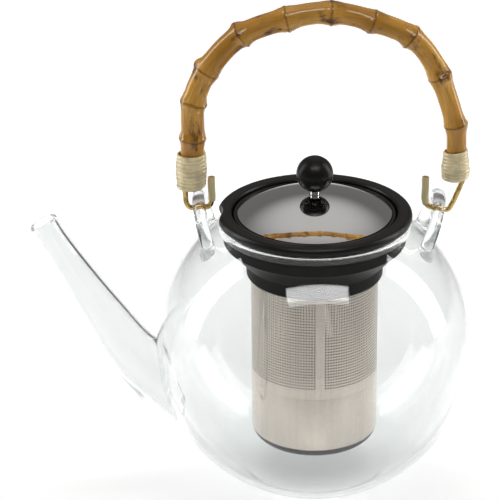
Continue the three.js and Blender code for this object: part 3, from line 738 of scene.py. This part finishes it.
def material(name):
    """A finish by its slot's name, written once and shared."""
    if name in bpy.data.materials and bpy.data.materials[name].get("written"):
        return bpy.data.materials[name]
    stale = bpy.data.materials.get(name)
    if stale:
        stale.name = name + "_frame"
    scene = bpy.context.scene
    infuser, lid, handle = scene.teapot_infuser, scene.teapot_lid, scene.teapot_handle
    makers = {
        "glass": lambda: glass_finish(scene.teapot_glass),
        "black_plastic": lambda: plastic_finish("black_plastic", infuser.plastic, 0.3, 0.05),
        "black_silicone": lambda: plastic_finish("black_silicone", (0.02, 0.018, 0.017), 0.5, 0.2),
        "mirror_steel": lambda: mirror_finish(lid.steel),
        "satin_steel": lambda: satin_finish(infuser.steel),
        "bamboo": lambda: bamboo_finish(handle, handle_route(scene.teapot_glass)),
        "cane": lambda: cane_finish(handle),
        "brass": lambda: brass_finish(handle),
        "sleeve": lambda: sleeve_finish(handle),
    }
    made = makers[name]()
    made["written"] = True
    return made


# ---------------------------------------------------------------- the glass pot


def make_glass(glass):
    centre = globe_centre(glass)
    wall, mouth, floor = glass.wall / MM, glass.mouth / MM, glass.floor / MM
    inner = GLOBE_RADIUS - wall
    neck = mouth + wall
    foot_angle = math.degrees(math.asin(-centre / GLOBE_RADIUS))
    neck_angle = math.degrees(math.acos(neck / GLOBE_RADIUS))
    floor_angle = math.degrees(math.asin((floor - centre) / inner))
    mouth_angle = math.degrees(math.acos(mouth / inner))
    profile = [
        (0, 0),
        (glass.foot / MM - 2.4, 0),
        *arc(0, centre, GLOBE_RADIUS, foot_angle + 1.6, neck_angle, 64),
        *arc(mouth + wall / 2, LIP_TOP - wall / 2, wall / 2, 0, 180, 10),
        *arc(0, centre, inner, mouth_angle, floor_angle + 4, 56),
        (inner * math.cos(math.radians(floor_angle)) - 2, floor + 0.25),
        (inner * math.cos(math.radians(floor_angle)) - 9, floor),
        (0, floor),
    ]
    pot = turned("glass_pot", profile, 144)
    middle = GLOBE_RADIUS - wall / 2

    def ball():
        return turned("ball", arc(0, centre, middle, -90, 90, 48), 96)

    route = spout_route(glass)
    root, tip, spout_wall = glass.spout_root / MM, glass.spout_tip / MM, glass.spout_wall / MM
    flare = glass.weld / MM

    def plain_at(share):
        ease = max(0.0, min(1.0, 1 - share))
        return tip + (root - tip) * ease * ease * (3 - 2 * ease)

    def tip_rounding(share):
        half = spout_wall / 2
        left = max((1 - share) * route.length, 0)
        return half - math.sqrt(half**2 - (half - left) ** 2) if left < half else 0

    def outer_at(share):
        x, z = route.at(share)
        off = math.hypot(x, z - centre) - GLOBE_RADIUS
        return plain_at(share) + flare * math.exp(-((max(off, 0) / 4.5) ** 1.3)) - tip_rounding(share)

    def bore_at(share):
        return plain_at(share) - spout_wall + tip_rounding(share)

    spout = rod("spout_blank", route, outer_at, 150, 64, 0.02, 1.0)
    combine(pot, combine(spout, ball(), "DIFFERENCE"), "UNION")
    for lug in LUGS:
        combine(pot, combine(make_lug(glass, lug), ball(), "DIFFERENCE"), "UNION")
    combine(pot, rod("spout_bore", route, bore_at, 150, 56, 0.004, 1.008), "DIFFERENCE")
    tidy_shell(pot)
    smooth(pot, 40)
    return mount(pot, "pot", "glass", "globe", "spout", "lug_left", "lug_right")


def make_lug(glass, lug):
    """A rod hoop with feet flared into the globe."""
    place = lug_place(glass, lug)
    arch = glass.lug_arch / MM
    buried = 9
    pairs = [(arch, -place["leg"] - buried), (arch, -place["leg"] / 2)]
    pairs += arc(0, 0, arch, 0, 180, 12)
    pairs += [(-arch, -place["leg"] / 2), (-arch, -place["leg"] - buried)]
    route = Route(pairs)
    lean = lug["side"] * lug["lean"]
    centre_x = lug["side"] * (place["apex_x"] - arch * math.sin(lug["lean"]))

    def lay(across, up):
        return (centre_x + up * math.sin(lean), across, bail_axis(glass) + up * math.cos(lean))

    def radius_at(share):
        below = -place["leg"] - route.at(share)[1]
        return glass.lug_rod / MM + glass.weld / MM * math.exp(-max(-below, 0) / 2.2)

    return rod("lug_blank", route, radius_at, 90, 28, lay=lay)


# ---------------------------------------------------------------- the infuser


def make_collar(infuser):
    """Turned moulding: flange, lid recess, grooved plug, funnel and skirt, then the pour notch."""
    low, high, flange = collar_low.z, collar_high.z, collar_high.x
    half = 2.6
    under = high - 5.2
    recess, recess_floor = 40.3, insert_low.z - CONTACT_GAP
    throat, throat_top = 30.1, recess_floor - 6
    plug, plug_low = 43.9, low + 15.7
    groove, groove_low, groove_high = plug - 1.5, under - 3.4, under - 1.2
    skirt_in, skirt_out, skirt_top = 31.35, 33.25, low + 6.7
    seat = sleeve_high.z + CONTACT_GAP
    inside = [(recess, recess_floor), (throat + 7, recess_floor), (throat, throat_top), (throat, seat)]
    skirt = [(skirt_in, seat), (skirt_in, low), (skirt_out - 0.7, low), (skirt_out, low + 1.2)]
    skirt += [(skirt_out, skirt_top)]
    wall = [(plug - 2, plug_low), (plug, plug_low + 1.8), (plug, groove_low), (groove, groove_low)]
    wall += [(groove, groove_high), (plug, groove_high), (plug, under)]
    mouth = [(1.2, 0), (0.55, 0.25), (0.12, 0.7), (0, 1.5)]
    profile = rounded(inside + skirt + wall, 0.5)
    profile += arc(flange - half, under + half, half, -90, 90, 14)
    profile += [(recess + out, high - down) for out, down in mouth]
    collar = turned("collar_moulding", profile, 168)
    notch_radius, notch_depth = 22.5, 3
    deselect()
    bpy.ops.mesh.primitive_cylinder_add(
        vertices=160, radius=notch_radius * MM, depth=12 * MM,
        location=((-flange + notch_depth - notch_radius) * MM, 0, (under + half) * MM),
    )
    combine(collar, bpy.context.object, "DIFFERENCE")
    tidy_shell(collar)
    smooth(collar, 38)
    return mount(collar, "infuser", "black_plastic", "collar")


HOLES_LOW, HOLES_HIGH = 59.4, 108.0


def make_strainer(infuser):
    """Perforated sleeve in two halves, with a plain strip where its sheet is joined."""
    radius = sleeve_high.x
    seam = infuser.seam_width / MM
    around = TURN * radius - seam
    columns = round(around / (infuser.hole_pitch / MM))
    pitch, rise = around / columns, infuser.row_pitch / MM
    rows = int((HOLES_HIGH - HOLES_LOW) / rise)
    seam_end = math.radians(-85.9) + seam / radius / 2
    halves = (("strainer_sleeve_right", 0, columns // 2), ("strainer_sleeve_left", columns // 2, columns))
    for name, first, last in halves:
        sheet = perforated_sheet(name, infuser, last - first, rows, pitch * MM / 2, rise * MM / 2)
        if last == columns:
            draw_edge(sheet, 0, (2 * (last - first) - 1) * pitch * MM / 2, (seam * MM, 0, 0), 4)
        roll_up(sheet, radius, seam_end + first * pitch / radius, pitch * MM / 2, rise * MM / 2)
        apply_modifier(sheet, "SOLIDIFY", thickness=infuser.sheet, offset=-1)
        smooth(sheet, 30)
        mount(sheet, "infuser", "satin_steel", "strainer_sleeve")


def perforated_sheet(name, infuser, columns, rows, half, half_up):
    """One cell round one hole, copied over a flat sheet, with plain bands drawn out below and above."""
    deselect()
    bpy.ops.mesh.primitive_circle_add(vertices=8, radius=infuser.hole_radius)
    sheet = bpy.context.object
    sheet.name = name
    bpy.ops.object.mode_set(mode="EDIT")
    bpy.ops.mesh.select_all(action="SELECT")
    bpy.ops.mesh.extrude_edges_move()
    bpy.ops.object.mode_set(mode="OBJECT")
    for vertex in sheet.data.vertices:
        if vertex.select:
            reach = max(abs(vertex.co.x), abs(vertex.co.y))
            vertex.co = (vertex.co.x * half / reach, vertex.co.y * half_up / reach, 0)
    for count, step in ((columns, (2 * half, 0, 0)), (rows, (0, 2 * half_up, 0))):
        apply_modifier(
            sheet, "ARRAY", count=count, use_relative_offset=False, use_constant_offset=True,
            constant_offset_displace=step, use_merge_vertices=True, merge_threshold=1e-6,
        )
    draw_edge(sheet, 1, -half_up, (0, (sleeve_low.z - HOLES_LOW) * MM, 0), 1)
    plain_above = (sleeve_high.z - HOLES_LOW) * MM - 2 * rows * half_up
    draw_edge(sheet, 1, (2 * rows - 1) * half_up, (0, plain_above, 0), 1)
    return sheet


def roll_up(sheet, radius, start, half, half_up):
    """Rolls a flat sheet round the Z axis from an angle, its outer face outwards."""
    places = read_places(sheet)
    angle = start + (places[:, 0] + half) / MM / radius
    around, across = np.cos(angle) * radius * MM, np.sin(angle) * radius * MM
    write_places(sheet, np.stack([around, across, places[:, 1] + half_up + HOLES_LOW * MM], axis=1))
    make_active(sheet)
    bpy.ops.object.mode_set(mode="EDIT")
    bpy.ops.mesh.select_all(action="SELECT")
    bpy.ops.mesh.remove_doubles(threshold=1e-6)
    bpy.ops.mesh.normals_make_consistent(inside=False)
    bpy.ops.object.mode_set(mode="OBJECT")
    face = max(sheet.data.polygons, key=lambda polygon: polygon.area)
    if face.normal.x * face.center.x + face.normal.y * face.center.y <= 0:
        sheet.data.flip_normals()


def draw_edge(obj, axis, place, move, steps):
    """Draws out the border edges that lie at a place on an axis."""
    make_active(obj)
    for step in range(steps):
        at = place + move[axis] * step / steps
        for element in (*obj.data.vertices, *obj.data.edges, *obj.data.polygons):
            element.select = False
        vertices = obj.data.vertices
        for edge in obj.data.edges:
            if all(abs(vertices[v].co[axis] - at) < 1e-6 for v in edge.vertices):
                edge.select = True
                for v in edge.vertices:
                    vertices[v].select = True
        bpy.ops.object.mode_set(mode="EDIT")
        bpy.ops.mesh.select_mode(type="EDGE")
        one_step = tuple(part / steps for part in move)
        bpy.ops.mesh.extrude_edges_move(TRANSFORM_OT_translate={"value": one_step})
        bpy.ops.mesh.select_mode(type="VERT")
        bpy.ops.object.mode_set(mode="OBJECT")


def make_cup(infuser):
    """Plain lower cup of the strainer."""
    low, high, radius = cup_low.z, sleeve_low.z - 0.04, cup_high.x
    corner, wall = 6.5, infuser.sheet / MM
    profile = [
        (0, low),
        *arc(radius - corner, low + corner, corner, -90, 0, 12),
        (radius, high - 0.3), (radius - 0.08, high), (radius - wall, high),
        *arc(radius - corner, low + corner, corner - wall, 0, -90, 12),
        (0, low + wall),
    ]
    cup = turned("strainer_cup_body", profile, 144)
    smooth(cup, 35)
    return mount(cup, "infuser", "satin_steel", "strainer_cup")


# ---------------------------------------------------------------- the lid and the plunger


def make_dome(lid):
    """Polished cap: two parallel spherical skins, with a hole for the plunger's rod."""
    radius, edge = dome_high.x, dome_low.z
    rise, sheet, bore = lid.dome_rise / MM, 0.8, 2.6
    crown = (radius**2 + rise**2) / (2 * rise)
    centre = edge + sheet + rise - crown

    def skin(reach, first, last):
        start, end = (math.degrees(math.acos(r / reach)) for r in (first, last))
        return arc(0, centre, reach, start, end, 28)

    edge_band = [(radius - sheet, edge), (radius - 0.2, edge), (radius, edge + 0.2)]
    profile = [*edge_band, *skin(crown, radius, bore), *skin(crown - sheet, bore, radius - sheet)]
    dome = turned("lid_dome_pressing", profile, 168)
    smooth(dome, 35)
    mount(dome, "lid", "mirror_steel", "lid_dome")


def make_insert():
    """Black underside of the lid: rim round the dome, seal groove, plate and hub."""
    outer, low, high = insert_high.x, insert_low.z, insert_high.z
    base = low - CONTACT_GAP
    hub, hub_bore = 7.0, 4.8
    hub_low, groove_low, plate_low, plate_high, hub_high = (base + up for up in (3, 3, 6, 8, 10))
    wall, ledge, groove = outer - 3.5, outer - 5.5, outer - 1.5
    recess, ledge_top = dome_high.x + CONTACT_GAP, dome_low.z - CONTACT_GAP
    underside = [(hub_bore, hub_low), (hub, hub_low), (hub, plate_low), (wall, plate_low), (wall, low)]
    side = [(outer - 0.8, low), (outer, low + 0.8), (outer, groove_low), (groove, groove_low)]
    side += [(groove, plate_low), (outer, plate_low), (outer, high - 0.5), (outer - 0.5, high)]
    top = [(recess, high), (recess, ledge_top), (ledge, ledge_top), (ledge, plate_high)]
    top += [(hub, plate_high), (hub, hub_high), (hub_bore, hub_high)]
    insert = turned("lid_insert_moulding", rounded(underside + side + top, 0.35, 2), 168)
    smooth(insert, 38)
    mount(insert, "lid", "black_plastic", "lid_insert")


def make_knob():
    """Ball with a socket for the rod."""
    ball = (knob_high.x - knob_low.x) / 2
    centre = knob_high.z - ball
    mouth, socket_radius = 3.1, 2.6
    start = -math.degrees(math.acos(mouth / ball))
    bottom = centre - math.sqrt(ball**2 - mouth**2)
    socket_top = rod_high.z + CONTACT_GAP
    socket = [(0, socket_top), (socket_radius, socket_top), (socket_radius, bottom + 0.3)]
    profile = [*socket, (socket_radius + 0.2, bottom), *arc(0, centre, ball, start, 90, 40)]
    knob = turned("knob_ball", profile, 80)
    smooth(knob, 40)
    mount(knob, "plunger", "black_plastic", "knob")


def make_rod():
    """Chromed rod with a turned groove above its foot."""
    radius = (rod_high.x - rod_low.x) / 2
    neck = radius - 0.25
    foot = [(0, 0), (radius - 0.4, 0), (radius, 0.4), (radius, 6), (neck, 6.3), (neck, 7.1), (radius, 7.4)]
    profile = [(r, rod_low.z + up) for r, up in foot]
    shaft = turned("plunger_rod_shaft", [*profile, (radius, rod_high.z), (0, rod_high.z)], 40)
    smooth(shaft, 30)
    mount(shaft, "plunger", "mirror_steel", "plunger_rod")


KEPT_NODES = {
    "collar_gasket": "black_silicone", "lid_seal": "black_silicone", "rod_bushing": "black_plastic",
    "plunger_disc": "satin_steel", "plunger_seal": "black_silicone", "plunger_washer": "satin_steel",
    "plunger_nut": "satin_steel",
}


# ---------------------------------------------------------------- the handle


def make_bamboo(glass, handle):
    """A straight cane with swollen joints and bud scars, laid along the handle's route."""
    route = handle_route(glass)
    chance = random.Random(handle.seed)
    left, right, swell = handle.left_radius / MM, handle.right_radius / MM, handle.node_swell / MM
    joints = []
    for share in BAMBOO_NODES:
        joints.append({
            "at": share * route.length, "swell": swell * chance.uniform(0.85, 1.35),
            "tilt": chance.uniform(-0.9, 0.9), "bud": chance.uniform(0.3, 1.7),
            "phase": chance.choice((0, math.pi)) + chance.uniform(-0.9, 0.9),
            "reach": chance.uniform(2.6, 4.6),
        })
    waves = []
    for _ in range(5):
        waves.append((chance.uniform(0.03, 0.14), chance.uniform(0, TURN), chance.uniform(0.1, 0.28)))
    rings, end_rounding = 620, 0.6
    profile = [(0, 0)]
    for k in range(rings + 1):
        share = k / rings
        z = share * route.length
        radius = left + (right - left) * share
        end = min(z, route.length - z)
        if end < end_rounding:
            radius -= end_rounding - math.sqrt(max(end_rounding**2 - (end_rounding - end) ** 2, 0))
        profile.append((radius, z))
    profile.append((0, route.length))
    cane = turned("bamboo_cane", profile, 56)
    swell_cane(cane, joints, waves)
    store_straight(cane)
    bend_along(cane, route)
    for vertex in cane.data.vertices:
        vertex.co.z = min(vertex.co.z, (bamboo_top - 0.05) * MM)
    tidy_shell(cane)
    smooth(cane, 45)
    mount(cane, "handle", "bamboo", "bamboo_handle")


def swell_cane(cane, joints, waves):
    """Pushes the skin of a straight cane out at its joints and buds, and makes it uneven all along."""
    places = read_places(cane)
    x, y, z = (places[:, axis] / MM for axis in range(3))
    radius = np.hypot(x, y)
    angle = np.arctan2(y, x)
    grown = np.zeros_like(radius)
    for pace, phase, depth in waves:
        grown += depth * np.sin(z * pace + phase + angle)
    inner_side = 0.8 - 0.5 * np.cos(angle)
    for joint in joints:
        gap = z - joint["at"] - joint["tilt"] * np.cos(angle - joint["phase"])
        facing = np.cos(angle - joint["phase"]) - 1
        ridge = np.exp(-((gap / joint["reach"]) ** 2))
        lip = np.exp(-((gap / 0.55) ** 2))
        waist = np.exp(-(((np.abs(gap) - 1.5) / 0.6) ** 2))
        bud = np.exp(-((gap - 1.2) / 2.4) ** 2) * np.exp(-(facing / 0.35) ** 2)
        grown += joint["swell"] * (inner_side * ridge + 0.14 * lip - 0.12 * waist) + joint["bud"] * bud
    core = 3.0
    scale = (radius + grown * np.clip(radius / core, 0, 1)) / np.maximum(radius, 0.01)
    places[:, :2] *= np.where(radius > 0.01, scale, 1)[:, None]
    write_places(cane, places)


def make_wrap(glass, handle, side):
    """One strand of cane wound round and round the handle's end."""
    route = handle_route(glass)
    band = handle.band / MM
    left = side == "left"
    start = 0.2 if left else route.length - 16.6
    wound = 19.0 if left else 16.2
    turns = round(wound / band) - 1
    pitch = (wound - band) / turns
    core = (handle.left_radius if left else handle.right_radius) / MM + 0.25
    half = band * 0.49
    crown = [(0.375, -1), (0.625, -0.72), (0.75, -0.3), (0.75, 0.3), (0.625, 0.72), (0.375, 1)]
    section = [(core, -half), *((core + out, half * up) for out, up in crown), (core, half)]
    wrap = outline("cane_wrap_" + side, [(r, z + band / 2) for r, z in section])
    bpy.ops.object.mode_set(mode="EDIT")
    bpy.ops.mesh.select_all(action="SELECT")
    bpy.ops.mesh.edge_face_add()
    bpy.ops.object.mode_set(mode="OBJECT")
    apply_modifier(wrap, "SCREW", steps=48, render_steps=48, iterations=turns, screw_offset=pitch * MM,
                   angle=TURN, axis="Z", use_merge_vertices=False)
    swell_wrap(wrap, wound, turns, left)
    make_active(wrap)
    bpy.ops.object.mode_set(mode="EDIT")
    bpy.ops.mesh.select_all(action="SELECT")
    bpy.ops.mesh.fill_holes(sides=0)
    bpy.ops.object.mode_set(mode="OBJECT")
    tidy_shell(wrap)
    bend_along(wrap, route, start / route.length)
    smooth(wrap, 50)
    mount(wrap, "handle", "cane", "wrap_" + side)


def swell_wrap(wrap, wound, turns, left):
    """Gives a wound strand its barrel or bell shape, uneven turns and, on the left, one gap half way."""
    places = read_places(wrap)
    down = places[:, 2] / MM / wound
    radius = np.hypot(places[:, 0], places[:, 1]) / MM
    angle = np.arctan2(places[:, 1], places[:, 0])
    turn = np.floor(down * turns)
    if left:
        build = 0.75 * np.sin(np.clip(down, 0, 1) * math.pi) ** 0.7
    else:
        build = 1.25 * np.clip(down * 1.5, 0, 1) ** 0.8 - 0.5 * np.clip(down * 6 - 5, 0, 1)
    build += 0.12 * np.sin(turn * 2.3 + angle) + 0.08 * np.sin(turn * 5.1)
    places[:, :2] *= ((radius + build) / radius)[:, None]
    if left:
        gap = 0.42
        places[:, 2] += gap * MM * (np.clip((down - 0.46) * turns, 0, 1) - 0.5)
    write_places(wrap, places)


def make_hook(glass, handle, lug):
    """Bent wire with a rounded tip, and the open plastic tube on its inner limb."""
    route = hook_route(glass, handle, lug)
    wire = handle.wire / MM
    tip, tip_rounding = 2 / HOOK_STEPS, 0.4
    sleeve_first, sleeve_last = 1 / HOOK_STEPS, 9 / HOOK_STEPS

    def wire_at(share):
        short = max(tip_rounding - max((share - tip) * route.length, 0), 0)
        return wire - tip_rounding + math.sqrt(tip_rounding**2 - short**2)

    def sleeve_at(share):
        return wire + SLEEVE_CLEARANCE + SLEEVE_WALL

    hook = rod("hook_wire_" + lug["name"], route, wire_at, 260, 24, tip, 1.0)
    smooth(hook, 40)
    mount(hook, "handle", "brass", "hook_" + lug["name"])
    tube = rod(
        "sleeve_tube_" + lug["name"], route, sleeve_at, 90, 32, sleeve_first, sleeve_last, capped=False,
    )
    apply_modifier(tube, "SOLIDIFY", thickness=SLEEVE_WALL * MM, offset=-1)
    tidy_shell(tube)
    smooth(tube, 40)
    mount(tube, "handle", "sleeve", "sleeve_" + lug["name"])


# ---------------------------------------------------------------- the stage


def soft_light(name, place, target, size, power):
    deselect()
    bpy.ops.object.light_add(type="AREA", location=place)
    light = bpy.context.object
    light.name = name
    light.data.shape = "RECTANGLE"
    light.data.size, light.data.size_y = size
    light.data.energy = power
    light.rotation_euler = (Vector(target) - Vector(place)).to_track_quat("-Z", "Y").to_euler()
    return light


def make_floor(stage):
    """Pale paper. A patch round and behind the pot gives off light of its own."""
    deselect()
    bpy.ops.mesh.primitive_plane_add(size=6, location=(0, 0, -0.0004))
    floor = bpy.context.object
    floor.name = "floor"
    finish = Finish("floor_paper")
    where = finish.place()
    fleck = finish.noise(where, 30, 2)
    x, y = finish.axis(where, "X"), finish.axis(where, "Y")
    lit = y.step(-0.4, 0.06) * abs(x + 0.03).step(0.2, 0.3, 1, 0) * y.step(0.8, 1.1, 1, 0)
    glow = finish.node("ShaderNodeEmission", None, {"Strength": lit * stage.floor_glow}).outputs[0]
    pale = finish.blend(fleck, (0.9, 0.9, 0.9, 1), (0.92, 0.92, 0.92, 1))
    paper = finish.shader({"Base Color": pale, "Roughness": 0.8})
    both = finish.node("ShaderNodeAddShader", None, {0: glow, 1: paper}).outputs[0]
    floor.data.materials.append(finish.end(both))


def make_lights(stage):
    """Softboxes on both sides and in front, a floor wash, and two that only show as reflections."""
    middle = (0, 0, 0.09)
    for name, x in (("side_left", -1.15), ("side_right", 1.15)):
        soft_light(name, (x, 0.25, 0.55), middle, (0.36, 1.1), stage.side_light)
    wash = soft_light("floor_wash", (0, 0.35, 1.8), (0, 0.351, 0), (0.9, 0.6), stage.top_light)
    wash.data.spread = math.radians(75)
    wash.visible_glossy = False
    wash.visible_transmission = False
    soft_light("front", (0.05, -0.75, 1.3), middle, (1.1, 0.34), stage.front_light)
    reflected = (("front_shine", (0.03, -0.75, 1.4), (1.16, 0.3)), ("strip", (0, 0, 1.6), (1.3, 0.06)))
    for name, place, size in reflected:
        shine = soft_light(name, place, middle, size, stage.shine * size[0] * size[1])
        shine.visible_diffuse = False


def make_room(stage):
    """An even room with one soft glow high behind the pot."""
    world = bpy.data.worlds.new("room")
    finish = Finish("room", world)
    height = math.radians(56)
    glow_way = (0.03, math.cos(height), math.sin(height))
    direction = finish.node("ShaderNodeTexCoord").outputs["Generated"]
    facing = finish.node("ShaderNodeVectorMath", {"operation": "DOT_PRODUCT"}, {0: direction, 1: glow_way})
    brightness = Value(finish, facing.outputs["Value"]).step(0.8, 0.99, stage.room, stage.glow)
    light = finish.node("ShaderNodeBackground", None, {"Color": (1, 0.985, 0.97, 1), "Strength": brightness})
    bpy.context.scene.world = finish.end(light.outputs[0], "ShaderNodeOutputWorld")


def make_camera():
    """Long lens from in front and above, turned by a hair about its own axis."""
    deselect()
    down, roll = math.radians(24.2), math.radians(-0.35)
    bpy.ops.object.camera_add(location=(-0.0315, -1.44, 0.7678))
    camera = bpy.context.object
    camera.rotation_mode = "QUATERNION"
    forward = Vector((0, math.cos(down), -math.sin(down)))
    level_right, level_up = Vector((1, 0, 0)), Vector((0, math.sin(down), math.cos(down)))
    right = math.cos(roll) * level_right + math.sin(roll) * level_up
    up = -math.sin(roll) * level_right + math.cos(roll) * level_up
    turn = [[right[i], up[i], -forward[i]] for i in range(3)]
    camera.rotation_quaternion = Matrix(turn).to_quaternion()
    camera.data.sensor_width = 36
    camera.data.lens = 233.06
    camera.data.clip_end = 20
    bpy.context.scene.camera = camera


# ---------------------------------------------------------------- operators


class TEAPOT_OT_glass(bpy.types.Operator):
    """Builds the glass globe with its spout and lugs."""

    bl_idname = "teapot.glass"
    bl_label = "Glass pot"

    def execute(self, context):
        make_glass(context.scene.teapot_glass)
        return {"FINISHED"}


class TEAPOT_OT_infuser(bpy.types.Operator):
    """Builds the collar, the perforated sleeve and the cup of the strainer."""

    bl_idname = "teapot.infuser"
    bl_label = "Infuser"

    def execute(self, context):
        infuser = context.scene.teapot_infuser
        make_collar(infuser)
        make_strainer(infuser)
        make_cup(infuser)
        return {"FINISHED"}


class TEAPOT_OT_lid(bpy.types.Operator):
    """Builds the dome, the lid's insert, the knob and the rod, and finishes the small hidden parts."""

    bl_idname = "teapot.lid"
    bl_label = "Lid and plunger"

    def execute(self, context):
        make_dome(context.scene.teapot_lid)
        make_insert()
        make_knob()
        make_rod()
        for name, slot in KEPT_NODES.items():
            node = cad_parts[name]
            node.data.materials.clear()
            node.data.materials.append(material(slot))
        return {"FINISHED"}


class TEAPOT_OT_handle(bpy.types.Operator):
    """Builds the bamboo cane and its two cane bindings."""

    bl_idname = "teapot.handle"
    bl_label = "Bamboo handle"

    def execute(self, context):
        scene = context.scene
        make_bamboo(scene.teapot_glass, scene.teapot_handle)
        for side in ("left", "right"):
            make_wrap(scene.teapot_glass, scene.teapot_handle, side)
        return {"FINISHED"}


class TEAPOT_OT_hooks(bpy.types.Operator):
    """Builds the two wire hooks and their sleeves."""

    bl_idname = "teapot.hooks"
    bl_label = "Hooks"

    def execute(self, context):
        scene = context.scene
        for lug in LUGS:
            make_hook(scene.teapot_glass, scene.teapot_handle, lug)
        return {"FINISHED"}


class TEAPOT_OT_stage(bpy.types.Operator):
    """Sets up the floor, the lights, the room and the camera."""

    bl_idname = "teapot.stage"
    bl_label = "Stage"

    def execute(self, context):
        stage = context.scene.teapot_stage
        make_floor(stage)
        make_lights(stage)
        make_room(stage)
        make_camera()
        context.scene.view_settings.view_transform = "Standard"
        return {"FINISHED"}


OPERATORS = (
    TEAPOT_OT_glass, TEAPOT_OT_infuser, TEAPOT_OT_lid, TEAPOT_OT_handle, TEAPOT_OT_hooks, TEAPOT_OT_stage,
)


class TEAPOT_PT_sidebar(bpy.types.Panel):
    """Sizes, colours and build steps of the teapot."""

    bl_idname = "TEAPOT_PT_sidebar"
    bl_label = "Glass Teapot"
    bl_space_type = "VIEW_3D"
    bl_region_type = "UI"
    bl_category = "Teapot"

    def draw(self, context):
        for key, group in SETTINGS.items():
            column = self.layout.column(align=True)
            for name in group.__annotations__:
                column.prop(getattr(context.scene, key), name)
        for operator in OPERATORS:
            self.layout.operator(operator.bl_idname)


CLASSES = (*SETTINGS.values(), *OPERATORS, TEAPOT_PT_sidebar)


def register():
    for cls in CLASSES:
        bpy.utils.register_class(cls)
    for key, group in SETTINGS.items():
        setattr(bpy.types.Scene, key, PointerProperty(type=group))


def unregister():
    for key in SETTINGS:
        delattr(bpy.types.Scene, key)
    for cls in reversed(CLASSES):
        bpy.utils.unregister_class(cls)


def main():
    register()
    bpy.ops.teapot.glass()
    bpy.ops.teapot.infuser()
    bpy.ops.teapot.lid()
    bpy.ops.teapot.handle()
    bpy.ops.teapot.hooks()
    bpy.ops.teapot.stage()
    deselect()


if __name__ == "__main__":
    main()
